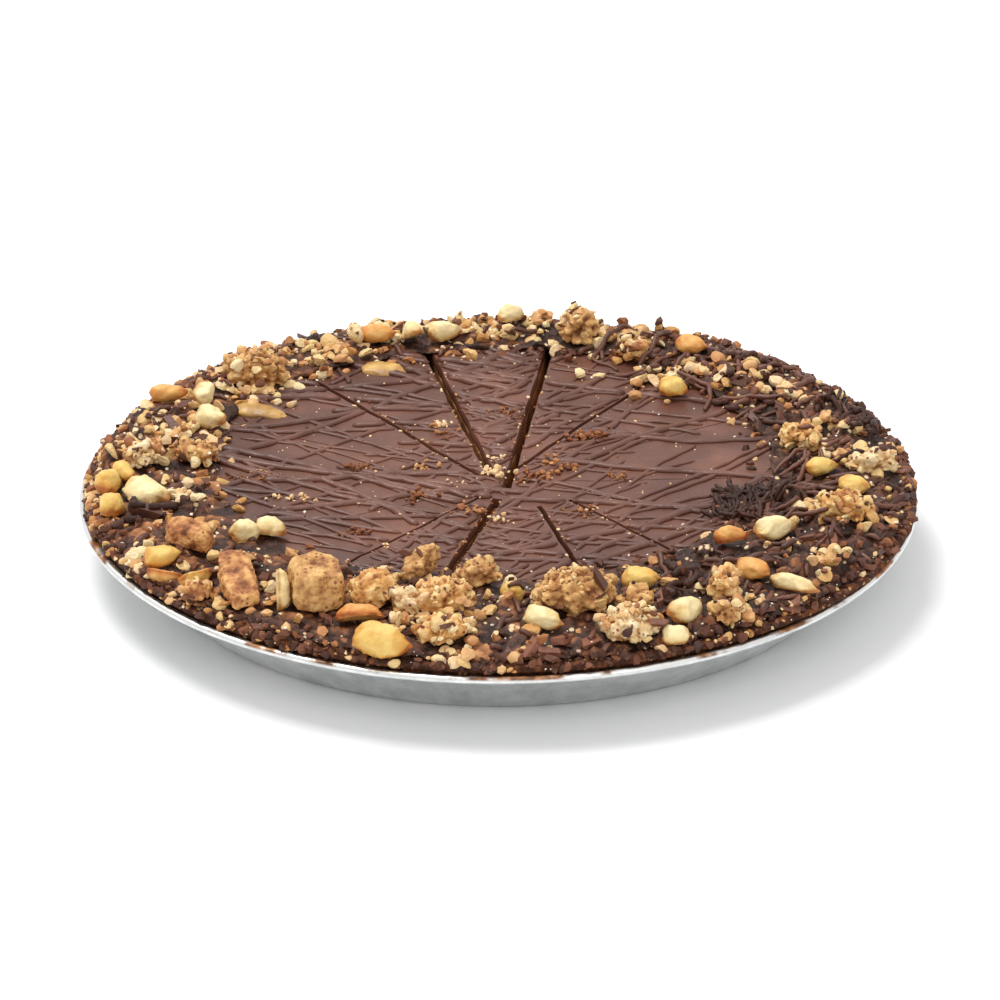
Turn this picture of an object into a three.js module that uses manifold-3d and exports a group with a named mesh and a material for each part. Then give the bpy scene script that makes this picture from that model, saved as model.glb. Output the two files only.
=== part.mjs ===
// A round chocolate peanut pie in its foil pan, cut into fourteen slices that still lie together.
// A crumb crust lines the pan and holds a peanut butter filling. A sheet of chocolate with ridges of
// drizzle covers it, and a border of nuts, chunks and chocolate pieces is heaped round the edge.
// Millimetres, +Z up. The origin is the centre of the pan's flat underside, on the table.
// Plan angles are in degrees, anticlockwise from +X. The side that faces the viewer is at 270.
import * as THREE from "three";
import { mergeVertices } from "three/addons/utils/BufferGeometryUtils.js";
import Module from "manifold-3d";

const wasm = await Module();
wasm.setup();

// ---- Driving dimensions ----
const PAN_RADIUS = 127; // to the outside of the rolled rim: a ten inch pan
const PAN_BASE_RADIUS = 104;
const PAN_DEPTH = 21;
const FOIL = 0.6;
const WALL_THICKNESS = 0.9; // of the sloping wall, measured level
const BEAD_RADIUS = 1.1;
const BEAD_START = -150; // where the bead's section starts and ends, in degrees round its middle
const BEAD_END = 120;
const BEAD_STEPS = 5;
const LIP_WIDTH = 3.2; // the flat lip and the bead together
const LIP_CORNER = 0.4; // where the wall's outside bends into the lip
const GAP = 0.32; // between pieces that touch
const AROUND = 54; // steps round the pie

const CRUST_THICKNESS = 4.2;
const CRUST_LIP = 2; // how far the crust's top edge stands above the pan's rim
const CRUST_BASE_INSET = 1.6; // from the pan's bottom corner
const CRUST_EDGE_STEP = 0.2; // the edge that lies over the lip begins this far out
const LEDGE_DROP = 1; // the crust's inner wall is upright for this far under the chocolate
const SHOULDER_DROP = 1.2; // the filling's side is upright for this far under its top
const CHOCOLATE_THICKNESS = 3;
const CHOCOLATE_RADIUS = 116.4;
const CHOCOLATE_BEVEL = 1;
const RIDGE_HEIGHT = 0.7; // of the drizzle, above the sheet
const RIDGE_ROOT = 0.5; // how far it is sunk in the sheet
const RIDGE_HALF_FOOT = 1.44; // half its width down there
const RELIEF_INSET = 2; // ridges and crumbs end this far inside the sheet's edge

const BEAD_HEIGHT = PAN_DEPTH - BEAD_RADIUS; // the bead's centre
const LIP_INNER_RADIUS = PAN_RADIUS - LIP_WIDTH;
const LIP_TOP = BEAD_HEIGHT + FOIL / 2;
const FILLING_TOP = PAN_DEPTH;
const CHOCOLATE_BOTTOM = FILLING_TOP + GAP;
const CHOCOLATE_TOP = CHOCOLATE_BOTTOM + CHOCOLATE_THICKNESS;
const CRUST_TOP = PAN_DEPTH + GAP + CRUST_LIP;
const CUT_FLOOR = 8; // the knife's slots end here, inside the filling
const NOTCH_FLOOR = CHOCOLATE_TOP + 1.1; // of the notches that the knife leaves in the heap
const ABOVE_ALL = 60; // higher than anything in the pie

// The border is heaped from an inner edge on the chocolate to the crust's edge. It is narrow at the
// back and wide in front. At the right the crust and the heap spread further over the pan's lip.
const BORDER_INNER_MEAN = 83;
const BORDER_INNER_SWING = 13;
const NARROWEST_ANGLE = 100;
const BORDER_OUTER = 122.9;
const OVERHANG_LEAST = 1.2; // of the crust's top edge over the lip
const OVERHANG_MOST = 3.5;
const OVERHANG_ANGLE = 8;
const HEAP_HEIGHT = 3.4; // of the bare core, above the chocolate
const HEAP_DROP = 0.9; // how much lower the core lies at the very back

const radians = THREE.MathUtils.degToRad;

// A number from 0 to 1 that is always the same for the same n.
function fixedRandom(n) {
  const s = Math.sin(n * 12.9898 + 4.1414) * 43758.5453;
  return s - Math.floor(s);
}

// A smooth wave round the pie, from -1 to 1, made of three sines.
function lumps(angle, seed) {
  return (
    0.5 * Math.sin(5 * angle + seed) +
    0.3 * Math.sin(11 * angle + 2.3 * seed) +
    0.2 * Math.sin(19 * angle + 3.7 * seed)
  );
}

// From 0 to 1: how far the food spreads over the pan's lip at this angle.
function spread(angle) {
  const turn = Math.cos(angle - radians(OVERHANG_ANGLE));
  return THREE.MathUtils.smoothstep(turn, 0.25, 0.85);
}

function overhang(angle) {
  return OVERHANG_LEAST + (OVERHANG_MOST - OVERHANG_LEAST) * spread(angle);
}

function borderInner(angle) {
  const swing = BORDER_INNER_SWING * Math.cos(angle - radians(NARROWEST_ANGLE));
  return BORDER_INNER_MEAN + swing + 2.4 * lumps(angle, 1);
}

function borderOuter(angle) {
  return BORDER_OUTER + overhang(angle) - OVERHANG_LEAST + 0.4 * lumps(angle, 4);
}

// From 0 at the sides to 1 at the very back, where the heap is lower and its pieces are smaller.
function farness(angle) {
  return Math.max(0, Math.sin(angle));
}

// ---- Solids ----
function solidOf(geometry) {
  const bare = geometry.clone();
  bare.deleteAttribute("normal");
  bare.deleteAttribute("uv");
  const merged = mergeVertices(bare, 1e-4);
  return new wasm.Manifold(
    new wasm.Mesh({
      numProp: 3,
      vertProperties: merged.attributes.position.array,
      triVerts: new Uint32Array(merged.index.array),
    }),
  );
}

function geometryOf(solid) {
  const { vertProperties, triVerts } = solid.getMesh();
  const geometry = new THREE.BufferGeometry();
  geometry.setAttribute("position", new THREE.BufferAttribute(vertProperties, 3));
  geometry.setIndex(new THREE.BufferAttribute(triVerts, 1));
  return geometry;
}

function joined(solids) {
  return wasm.Manifold.union(solids);
}

// The largest piece of a solid, without the scraps that a cut leaves. Its short edges are closed up
// where that moves no point by more than the slack.
function tidied(solid, slack = 0.03) {
  const pieces = solid.simplify(slack).decompose();
  return pieces.reduce((a, b) => (a.volume() > b.volume() ? a : b));
}

// A profile of [radius, height] points, turned round the Z axis. It runs up the outside.
function turned(profile, segments = AROUND) {
  const points = profile.map(([radius, height]) => new THREE.Vector2(radius, height));
  return new THREE.LatheGeometry(points, segments).rotateX(Math.PI / 2);
}

// Moves each point of a turned shape in its own radial plane.
function remoulded(geometry, place) {
  const position = geometry.attributes.position;
  for (let i = 0; i < position.count; i++) {
    const x = position.getX(i);
    const y = position.getY(i);
    const angle = Math.atan2(y, x);
    const [radius, height] = place(Math.hypot(x, y), angle, position.getZ(i));
    position.setXYZ(i, radius * Math.cos(angle), radius * Math.sin(angle), height);
  }
  return geometry;
}

function disc(radius, bottom, top) {
  return solidOf(turned([[0, bottom], [radius, bottom], [radius, top], [0, top]], AROUND));
}

// ---- The foil pan: one pressed sheet with a sloping wall, a flat lip and a rolled rim ----
function panGeometry() {
  const beadCentre = PAN_RADIUS - BEAD_RADIUS;
  const bead = [];
  for (let i = 0; i <= BEAD_STEPS; i++) {
    const turn = radians(THREE.MathUtils.lerp(BEAD_START, BEAD_END, i / BEAD_STEPS));
    bead.push([
      beadCentre + BEAD_RADIUS * Math.cos(turn),
      BEAD_HEIGHT + BEAD_RADIUS * Math.sin(turn),
    ]);
  }
  return turned([
    [0, 0],
    [PAN_BASE_RADIUS, 0],
    [LIP_INNER_RADIUS - LIP_CORNER, LIP_TOP - FOIL],
    ...bead,
    [LIP_INNER_RADIUS, LIP_TOP],
    [PAN_BASE_RADIUS - WALL_THICKNESS, FOIL],
    [0, FOIL],
  ]);
}

// ---- The crumb crust: a bowl with an uneven top edge that spreads over the lip at the right ----
const CRUST_UNDERSIDE = FOIL + GAP;
const CRUST_FLOOR = CRUST_UNDERSIDE + CRUST_THICKNESS;
const CRUST_RIM_RADIUS = LIP_INNER_RADIUS - 2 * GAP;
const CRUST_INNER_RADIUS = CHOCOLATE_RADIUS + GAP + 0.2;
const CRUST_FLOOR_RADIUS = PAN_BASE_RADIUS - CRUST_THICKNESS - 2;

function crustGeometry() {
  const edgeBottom = PAN_DEPTH + GAP;
  const profile = [
    [0, CRUST_UNDERSIDE],
    [PAN_BASE_RADIUS - CRUST_BASE_INSET, CRUST_UNDERSIDE],
    [CRUST_RIM_RADIUS, LIP_TOP],
    [CRUST_RIM_RADIUS, edgeBottom],
    [CRUST_RIM_RADIUS + CRUST_EDGE_STEP, edgeBottom],
    [CRUST_RIM_RADIUS + CRUST_EDGE_STEP, CRUST_TOP],
    [CRUST_INNER_RADIUS, CRUST_TOP],
    [CRUST_INNER_RADIUS, CHOCOLATE_BOTTOM - LEDGE_DROP],
    [CRUST_FLOOR_RADIUS, CRUST_FLOOR],
    [0, CRUST_FLOOR],
  ];
  return remoulded(turned(profile), (radius, angle, height) => {
    const onEdge = radius > CRUST_RIM_RADIUS + CRUST_EDGE_STEP / 2;
    if (!onEdge) return [radius, height];
    const outer = radius + overhang(angle) + 0.25 * lumps(angle, 2);
    const onTop = height > CRUST_TOP - 0.1;
    return [outer, onTop ? height - 0.3 * (1 + lumps(angle, 3)) : height];
  });
}

// ---- The knife's cuts, as slots that run out from the middle ----
// Each has its plan angle, how far it passes the middle on its left, its two ends and its width.
const CUTS = [
  { angle: 3, aside: -1, from: 8, to: 112, width: 0.8 },
  { angle: 31, aside: 1, from: 6, to: 112, width: 0.8 },
  { angle: 57.5, aside: 0.3, from: 5, to: 113, width: 1.2 },
  { angle: 82.5, aside: -3, from: -4, to: 113, width: 2.4 },
  { angle: 102.4, aside: 0.9, from: 8, to: 114, width: 2.4 },
  { angle: 126, aside: 2.3, from: 6, to: 114, width: 1.4 },
  { angle: 153, aside: 0, from: 7, to: 112, width: 0.8 },
  { angle: 180, aside: 1, from: 8, to: 112, width: 0.8 },
  { angle: 206, aside: 3, from: 10, to: 112, width: 0.8 },
  { angle: 230, aside: 3, from: 12, to: 113, width: 1 },
  { angle: 254, aside: 3.4, from: 12, to: 114, width: 2.4 },
  { angle: 285, aside: 7.4, from: 20, to: 113, width: 1.8 },
  { angle: 310.7, aside: 7.7, from: 24, to: 113, width: 1.4 },
  { angle: 335, aside: 4, from: 14, to: 112, width: 0.8 },
];

function cutSolid({ angle, aside, from, to, width }, bottom, top) {
  const slot = new THREE.BoxGeometry(to - from, width, top - bottom);
  slot.translate((from + to) / 2, aside, (bottom + top) / 2);
  return solidOf(slot.rotateZ(radians(angle)));
}

function allCuts(bottom, top) {
  return joined(CUTS.map((cut) => cutSolid(cut, bottom, top)));
}

// ---- The filling: it fills the crust and shows at the sides of the cuts ----
function fillingSolid() {
  const bottom = CRUST_FLOOR + GAP;
  const rise = CHOCOLATE_BOTTOM - LEDGE_DROP - CRUST_FLOOR;
  const slope = (CRUST_INNER_RADIUS - CRUST_FLOOR_RADIUS) / rise;
  const wall = (height) => CRUST_FLOOR_RADIUS + slope * (height - CRUST_FLOOR) - 2 * GAP;
  const shoulder = FILLING_TOP - SHOULDER_DROP;
  const body = solidOf(
    turned([
      [0, bottom],
      [wall(bottom), bottom],
      [wall(shoulder), shoulder],
      [wall(shoulder), FILLING_TOP],
      [0, FILLING_TOP],
    ]),
  );
  return tidied(body.subtract(allCuts(CUT_FLOOR, CHOCOLATE_TOP)));
}

// ---- The chocolate: a sheet with ridges of drizzle and a few crumbs, cut by the knife ----
// Two sweeps of drizzle cross each other. Each line has its own slant and a slow wave.
const DRIZZLE = [
  { heading: -14, spacing: 36, lines: 5, seed: 3 },
  { heading: 38, spacing: 44, lines: 4, seed: 40 },
];
const DRIZZLE_REACH = 92;
const DRIZZLE_WAVE = 2.4;
const DRIZZLE_WAVE_LENGTH = 90;
const DRIZZLE_STEPS = 6;

function drizzleLine({ heading, spacing, lines, seed }, index) {
  const luck = (offset) => fixedRandom(seed + index + offset) - 0.5;
  const aside = (index - (lines - 1) / 2) * spacing + luck(0) * spacing * 0.6;
  const half = Math.sqrt(DRIZZLE_REACH ** 2 - aside ** 2);
  const slant = radians(heading + 14 * luck(100));
  const along = new THREE.Vector3(Math.cos(slant), Math.sin(slant), 0);
  const across = new THREE.Vector3(-Math.sin(slant), Math.cos(slant), 0);
  const points = [];
  for (let i = 0; i <= DRIZZLE_STEPS; i++) {
    const t = half * ((2 * i) / DRIZZLE_STEPS - 1);
    const wave = DRIZZLE_WAVE * Math.sin((2 * Math.PI * t) / DRIZZLE_WAVE_LENGTH + 9 * luck(200));
    const point = along.clone().multiplyScalar(t).addScaledVector(across, aside + wave);
    points.push(point.setZ(CHOCOLATE_TOP));
  }
  return new THREE.CatmullRomCurve3(points);
}

// A ridge is a low bar with two sloping sides, its foot sunk in the sheet.
function ridgeSolid(curve) {
  const section = new THREE.Shape([
    new THREE.Vector2(RIDGE_HEIGHT, 0),
    new THREE.Vector2(-RIDGE_ROOT, RIDGE_HALF_FOOT),
    new THREE.Vector2(-RIDGE_ROOT, -RIDGE_HALF_FOOT),
  ]);
  const bar = new THREE.ExtrudeGeometry(section, {
    steps: DRIZZLE_STEPS,
    extrudePath: curve,
    bevelEnabled: false,
  });
  const solid = solidOf(bar);
  // The frame that carries the section may turn it over, so the bar is set upright again.
  const { min, max } = solid.boundingBox();
  const upright = max[2] - CHOCOLATE_TOP > CHOCOLATE_TOP - min[2] - 1e-3;
  if (upright) return solid;
  return solid.mirror([0, 0, 1]).translate([0, 0, 2 * CHOCOLATE_TOP]);
}

// Crumbs and nut pieces on the open chocolate: [plan angle, radius, length, width, height].
const CRUMBS = [
  [114, 43, 6, 5, 2.4],
  [92, 15, 4, 3.4, 2.6],
  [116, 6, 5, 4, 2.4],
  [270, 28, 6.5, 5, 3.2],
  [193, 12, 3.4, 3, 1.8],
  [17, 9, 7, 6, 2.2],
  [318, 33, 9, 5, 2.8],
  [48, 42, 12, 8, 2],
  [87, 50, 6, 5, 2],
  [208, 27, 7, 6, 1.8],
  [169, 43, 7, 6, 1.8],
  [222, 56, 10, 5, 2],
  [5, 36, 6, 4, 2],
  [193, 60, 5, 4, 2.2],
];

// ---- Broken pieces: rounded blocks and lumps with uneven corners ----
function lumpGeometry([length, width, height], seed, detail, grow = 0) {
  const geometry = new THREE.OctahedronGeometry(1, detail);
  geometry.deleteAttribute("normal");
  geometry.deleteAttribute("uv");
  const merged = mergeVertices(geometry, 1e-4);
  const position = merged.attributes.position;
  const point = new THREE.Vector3();
  const blocky = (value) => Math.sign(value) * Math.abs(value) ** 0.72;
  for (let i = 0; i < position.count; i++) {
    point.fromBufferAttribute(position, i);
    const uneven = 0.86 + 0.26 * fixedRandom(seed * 7.3 + i);
    point.set(blocky(point.x), blocky(point.y), blocky(point.z)).multiplyScalar(uneven);
    point.multiply(new THREE.Vector3(length / 2, width / 2, height / 2));
    point.addScaledVector(point.clone().normalize(), grow);
    position.setXYZ(i, point.x, point.y, point.z);
  }
  return merged;
}

// ---- Peanuts: a whole kernel, or a half with a flat side ----
function kernelGeometry([length, width, height], split, grow = 0) {
  const geometry = new THREE.SphereGeometry(1, 6, 5).rotateZ(Math.PI / 2);
  const position = geometry.attributes.position;
  const point = new THREE.Vector3();
  for (let i = 0; i < position.count; i++) {
    point.fromBufferAttribute(position, i);
    const taper = 1 - 0.16 * point.x;
    const flat = split && point.z < 0 ? 0.22 : 1;
    const tall = split ? height : height / 2;
    point.set((point.x * length) / 2, (point.y * taper * width) / 2, point.z * flat * tall);
    point.addScaledVector(point.clone().normalize(), grow);
    position.setXYZ(i, point.x, point.y, point.z);
  }
  return geometry;
}

// Sets a shape down at a plan angle and radius. Roll turns it about its length, pitch lifts its front
// end and yaw is its heading in plan.
function placed(geometry, { angle, radius, z, yaw = 0, pitch = 0, roll = 0 }) {
  const turn = new THREE.Euler(radians(roll), radians(-pitch), radians(yaw), "ZYX");
  const place = new THREE.Matrix4().makeRotationFromEuler(turn);
  const at = radians(angle);
  place.setPosition(radius * Math.cos(at), radius * Math.sin(at), z);
  return geometry.applyMatrix4(place);
}

// The large chunks of peanut butter candy, each a node of its own, as the viewer sees them.
const CHUNKS = [
  { name: "block_front", angle: 239.5, radius: 104, z: 32, size: [18, 19, 19], yaw: 6 },
  { name: "cluster_front", angle: 284, radius: 93, z: 30, size: [25, 18, 15], yaw: 8 },
  { name: "long_left", angle: 227.5, radius: 112, z: 30, size: [28, 11, 10], yaw: -76, pitch: -17 },
  { name: "brown_left", angle: 209, radius: 104, z: 29.5, size: [18, 11, 12], yaw: -34 },
  { name: "back_left", angle: 137, radius: 104, z: 30, size: [19, 14, 13], yaw: -12 },
  { name: "low_front", angle: 262, radius: 112, z: 28, size: [18, 12, 10], yaw: 12 },
  { name: "middle_front", angle: 260.5, radius: 95, z: 30.5, size: [17, 13, 11], yaw: 20 },
  { name: "cream_right", angle: 289.5, radius: 115, z: 28.5, size: [17, 13, 12], yaw: 24 },
  { name: "cream_front", angle: 254, radius: 98, z: 30, size: [15, 8, 8], yaw: -44, pitch: -6 },
  { name: "inner_front", angle: 265, radius: 75, z: 29, size: [13, 10, 9], yaw: 15 },
  { name: "bar_front", angle: 252, radius: 73, z: 30, size: [15, 7, 8], yaw: 50, pitch: 28 },
  { name: "gold_front", angle: 248, radius: 97, z: 31, size: [15, 12, 13], yaw: 5 },
  { name: "gold_right", angle: 308, radius: 107, z: 30, size: [10, 9, 12], yaw: 60, pitch: 20 },
  { name: "low_right", angle: 304, radius: 118, z: 27.5, size: [11, 9, 8], yaw: 35 },
  { name: "inner_right", angle: 293, radius: 102, z: 29.5, size: [10, 9, 9], yaw: 10 },
  { name: "slab_right", angle: 343, radius: 108, z: 29.5, size: [17, 12, 12], yaw: -12 },
  { name: "flat_right", angle: 2, radius: 113, z: 29, size: [16, 10, 8], yaw: 0 },
  { name: "far_right", angle: 14, radius: 96, z: 29, size: [12, 10, 9], yaw: 20 },
  { name: "back_top", angle: 76, radius: 106, z: 30.5, size: [12, 10, 12], yaw: 30 },
  { name: "back_right", angle: 65, radius: 100, z: 28.5, size: [9, 8, 7], yaw: -20 },
  { name: "sandy_left", angle: 173, radius: 92, z: 28, size: [14, 11, 9], yaw: -16 },
  { name: "crumbly_left", angle: 176, radius: 108, z: 29, size: [13, 11, 11], yaw: 40 },
  { name: "speckled_left", angle: 223.5, radius: 120, z: 27, size: [9, 8, 8], yaw: 0 },
];

// The whole and split peanuts, each a node of its own. A split one lies on its flat side unless it
// is rolled over.
const PEANUTS = [
  { angle: 254, radius: 121.5, z: 28, size: [16, 11, 5], yaw: -16, roll: 45, split: true },
  { angle: 249, radius: 111, z: 29.5, size: [14, 8, 4], yaw: 6, roll: -38, split: true },
  { angle: 235, radius: 111, z: 32, size: [14, 7, 3.6], yaw: 96, pitch: 72, roll: 90, split: true },
  { angle: 190, radius: 107, z: 29, size: [15, 11, 4.5], yaw: -38, roll: 24, split: true },
  { angle: 185, radius: 118, z: 28.4, size: [11, 8, 5], yaw: 80, split: true },
  { angle: 192, radius: 118.5, z: 27.4, size: [11, 8, 5], yaw: 98, split: true },
  { angle: 182, radius: 113, z: 29, size: [10, 6, 3.6], yaw: -58, roll: 20, split: true },
  { angle: 210, radius: 87, z: 27.6, size: [9, 8, 4.6], yaw: 30, roll: 14, split: true },
  { angle: 211, radius: 79, z: 27, size: [10, 8, 5], yaw: -20, roll: -16, split: true },
  { angle: 212, radius: 117, z: 28.6, size: [11, 7, 4], yaw: 24, roll: 26, split: true },
  { angle: 215, radius: 119.5, z: 26.6, size: [11, 6, 3.6], yaw: -20, roll: 150, split: true },
  { angle: 220, radius: 116, z: 28.6, size: [11, 7, 3.8], yaw: 32, roll: 140, split: true },
  { angle: 273, radius: 86, z: 29, size: [8, 7, 6.4], yaw: 70, split: false },
  { angle: 277, radius: 106, z: 29.5, size: [13, 7.4, 4], yaw: -32, roll: 34, split: true },
  { angle: 298, radius: 88, z: 29.4, size: [11, 8.4, 6.6], yaw: -6, split: false },
  { angle: 299, radius: 112, z: 28.8, size: [12, 9, 4.2], yaw: 48, roll: 30, split: true },
  { angle: 295, radius: 121, z: 26.2, size: [9, 6.4, 4], yaw: 18, roll: 24, split: true },
  { angle: 316, radius: 104, z: 29.6, size: [11, 8, 6.4], yaw: -40, split: false },
  { angle: 317, radius: 118, z: 28.4, size: [15, 5, 3.4], yaw: -30, roll: 20, split: true },
  { angle: 332, radius: 93, z: 28.8, size: [13, 8, 4.4], yaw: 26, roll: 18, split: true },
  { angle: 324, radius: 85, z: 28.8, size: [10, 7.4, 4.4], yaw: 22, roll: -20, split: true },
  { angle: 353, radius: 108, z: 29.4, size: [10, 7, 6], yaw: -24, split: false },
  { angle: 1, radius: 98, z: 28.6, size: [9, 6.6, 5.6], yaw: 10, split: false },
  { angle: 56, radius: 109, z: 30, size: [10, 7, 6], yaw: -20, split: false },
  { angle: 49, radius: 83, z: 26.8, size: [9, 7, 4.4], yaw: 0, split: true },
  { angle: 111, radius: 106, z: 30, size: [11, 6.6, 6], yaw: 8, split: false },
  { angle: 105, radius: 103, z: 29.6, size: [9, 7, 4.4], yaw: -60, pitch: 30, split: true },
  { angle: 99.5, radius: 104, z: 29, size: [10, 7.6, 4.6], yaw: 12, roll: 16, split: true },
  { angle: 88, radius: 113, z: 30, size: [9, 7, 4.6], yaw: 24, split: true },
  { angle: 153, radius: 115, z: 30.4, size: [11, 6.8, 6], yaw: 6, split: false },
  { angle: 150, radius: 106, z: 30, size: [9, 7, 4], yaw: 70, pitch: 34, roll: 70, split: true },
  { angle: 157, radius: 96, z: 28.4, size: [10, 8, 4.4], yaw: -30, roll: 30, split: true },
];

// ---- The border: a low core with small pieces of nut and chocolate fused on ----
// The core's section runs from its inner foot, under it and round to its top. Each point is [share of
// the way out from the inner edge, height above the chocolate]. The outer foot is on the crust.
const CORE_FOOT = CRUST_TOP + GAP - CHOCOLATE_TOP;
const CORE_STEP_RADIUS = CHOCOLATE_RADIUS + 1;
const CORE_SECTION = [
  [0, GAP],
  [0.5, GAP],
  [0.93, CORE_FOOT],
  [1, CORE_FOOT],
  [1, 0.4],
  [0.94, 0.62 * HEAP_HEIGHT],
  [0.8, 0.92 * HEAP_HEIGHT],
  [0.55, HEAP_HEIGHT],
  [0.22, 0.72 * HEAP_HEIGHT],
  [0.015, 0.38 * HEAP_HEIGHT],
];
const CORE_WAVE = 0.7; // the top of the core goes up and down by this much

// The section is turned with its shares as radii. Each point is then moved to its place.
function coreSolid(grow = 0) {
  const profile = CORE_SECTION.map(([share, height]) => [1 + share, height]);
  profile.push(profile[0]);
  const geometry = remoulded(turned(profile), (turnedRadius, angle, height) => {
    const share = turnedRadius - 1;
    const inner = borderInner(angle) - 2 * grow;
    const outer = borderOuter(angle) + grow;
    const underside = height < GAP + 1e-3;
    if (underside) {
      const atFoot = share < 0.25 ? inner : outer;
      const atStep = share > 0.25 && share < 0.97;
      return [atStep ? CORE_STEP_RADIUS : atFoot, CHOCOLATE_TOP + height - grow];
    }
    const onSide = share > 0.99;
    const wave = onSide ? 0 : CORE_WAVE * lumps(angle + 3 * share, 6 + 5 * share);
    const drop = onSide ? 0 : HEAP_DROP * farness(angle);
    return [inner + share * (outer - inner), CHOCOLATE_TOP + height + wave - drop + grow];
  });
  return solidOf(geometry);
}

// The height of the heap's core at a share of the way out, for setting pieces on it.
function heapHeight(share) {
  const top = CORE_SECTION.slice(4).reverse();
  const after = top.findIndex(([s]) => s >= share);
  if (after <= 0) return CHOCOLATE_TOP + top[0][1];
  const [s0, h0] = top[after - 1];
  const [s1, h1] = top[after];
  return CHOCOLATE_TOP + h0 + ((h1 - h0) * (share - s0)) / (s1 - s0);
}

// Nothing in the border may come lower than these: the ridged chocolate and the crust's edge.
const floorOverChocolate = disc(CORE_STEP_RADIUS, 0, CHOCOLATE_TOP + RIDGE_HEIGHT + GAP);
const floorOverCrust = disc(PAN_RADIUS + 20, 0, CRUST_TOP + GAP);
const borderFloor = joined([floorOverChocolate, floorOverCrust]);

// Small pieces of nut, candy and chocolate lie all over the heap, the largest first. A seat is drawn
// for each, and one that meets a large topping or lies close to an earlier piece is passed over.
const SMALL_PIECES = 72;
const LARGEST_SMALL = 9;
const SMALLEST_SMALL = 5;
const SHARD = [1.3, 0.5, 0.4]; // a shard's sides, as shares of a piece's size
const CRUMB = [1, 0.8, 0.7];
const SMALLER_AT_BACK = 0.3;

function smallPieces(taken) {
  const seats = [];
  const pieces = [];
  for (let draw = 1; pieces.length < SMALL_PIECES; draw++) {
    const luck = (offset) => fixedRandom(draw + offset);
    const angle = 360 * luck(0);
    const inner = borderInner(radians(angle));
    const share = 0.06 + 0.88 * luck(0.37);
    const radius = inner + share * (borderOuter(radians(angle)) - inner);
    const used = pieces.length / SMALL_PIECES;
    const far = farness(radians(angle));
    const size = THREE.MathUtils.lerp(LARGEST_SMALL, SMALLEST_SMALL, used) * (1 - SMALLER_AT_BACK * far);
    const seat = new THREE.Vector2(radius, 0).rotateAround(new THREE.Vector2(), radians(angle));
    if (seats.some((other) => other.distanceTo(seat) < size)) continue;
    const isShard = pieces.length % 4 === 0;
    const sides = (isShard ? SHARD : CRUMB).map((part) => part * size);
    const geometry = isShard ? new THREE.BoxGeometry(...sides) : lumpGeometry(sides, draw, 1);
    const z = heapHeight(share) - HEAP_DROP * far + (0.2 - 0.15 * far) * size;
    const pitch = 40 * (luck(0.71) - 0.5);
    const piece = solidOf(placed(geometry, { angle, radius, z, yaw: 360 * luck(0.59), pitch }));
    if (piece.intersect(taken).volume() > 1e-6) continue;
    seats.push(seat);
    pieces.push(piece);
  }
  return pieces;
}

// The two wide cuts at the back run on through the heap as shallow notches.
function borderNotches() {
  const wide = CUTS.filter(({ width, angle }) => width > 2 && angle < 180);
  return joined(wide.map((cut) => cutSolid({ ...cut, to: PAN_RADIUS }, NOTCH_FLOOR, ABOVE_ALL)));
}

// Each large topping is trimmed to the heap and to the toppings that were laid before it.
function toppingSolids() {
  const heap = joined([coreSolid(GAP), borderFloor]);
  const toppings = [];
  let taken = heap;
  const lay = (name, colour, shape, seat) => {
    const solid = tidied(solidOf(placed(shape(0), seat)).subtract(taken), 0.15);
    toppings.push({ name, colour, solid });
    taken = taken.add(solidOf(placed(shape(GAP + 0.12), seat)));
  };
  CHUNKS.forEach(({ name, size, ...seat }, i) => {
    lay(`chunk_${name}`, CHUNK_COLOUR, (grow) => lumpGeometry(size, i + 1, 2, grow), seat);
  });
  PEANUTS.forEach(({ size, split, ...seat }, i) => {
    const name = `peanut_${String(i + 1).padStart(2, "0")}`;
    lay(name, PEANUT_COLOUR, (grow) => kernelGeometry(size, split, grow), seat);
  });
  return { toppings, taken: taken.subtract(coreSolid(GAP)) };
}

function borderSolid(taken) {
  const heap = joined([coreSolid(), ...smallPieces(taken)]);
  return tidied(heap.subtract(borderNotches()), 0.06);
}

function chocolateSolid() {
  const sheet = solidOf(
    turned([
      [0, CHOCOLATE_BOTTOM],
      [CHOCOLATE_RADIUS, CHOCOLATE_BOTTOM],
      [CHOCOLATE_RADIUS, CHOCOLATE_TOP - CHOCOLATE_BEVEL],
      [CHOCOLATE_RADIUS - CHOCOLATE_BEVEL, CHOCOLATE_TOP],
      [0, CHOCOLATE_TOP],
    ]),
  );
  const ridges = [];
  for (const sweep of DRIZZLE) {
    for (let i = 0; i < sweep.lines; i++) ridges.push(ridgeSolid(drizzleLine(sweep, i)));
  }
  const crumbs = CRUMBS.map(([angle, radius, length, width, height], i) => {
    const geometry = lumpGeometry([length, width, 2 * height], 60 + i, 1);
    return solidOf(placed(geometry, { angle, radius, z: CHOCOLATE_TOP, yaw: 40 * i }));
  });
  const allowed = disc(CHOCOLATE_RADIUS - RELIEF_INSET, CHOCOLATE_BOTTOM + RIDGE_ROOT, ABOVE_ALL);
  const relief = joined([...ridges, ...crumbs]).subtract(coreSolid(GAP)).intersect(allowed);
  return tidied(joined([sheet, relief]).subtract(allCuts(0, ABOVE_ALL)));
}

// ---- Colours ----
const PAN_COLOUR = 0xb4b8ba;
const CRUST_COLOUR = 0x4a2a1e;
const FILLING_COLOUR = 0x9a6232;
const CHOCOLATE_COLOUR = 0x5b3c34;
const BORDER_COLOUR = 0x6b4632;
const CHUNK_COLOUR = 0xc69356;
const PEANUT_COLOUR = 0xdfb565;

function matte(color, roughness = 0.7) {
  return new THREE.MeshStandardMaterial({ color, roughness, metalness: 0 });
}

// ---- The pie ----
const pie = new THREE.Group();

function add(name, geometry, material) {
  const mesh = new THREE.Mesh(geometry, material);
  mesh.name = name;
  pie.add(mesh);
}

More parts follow.
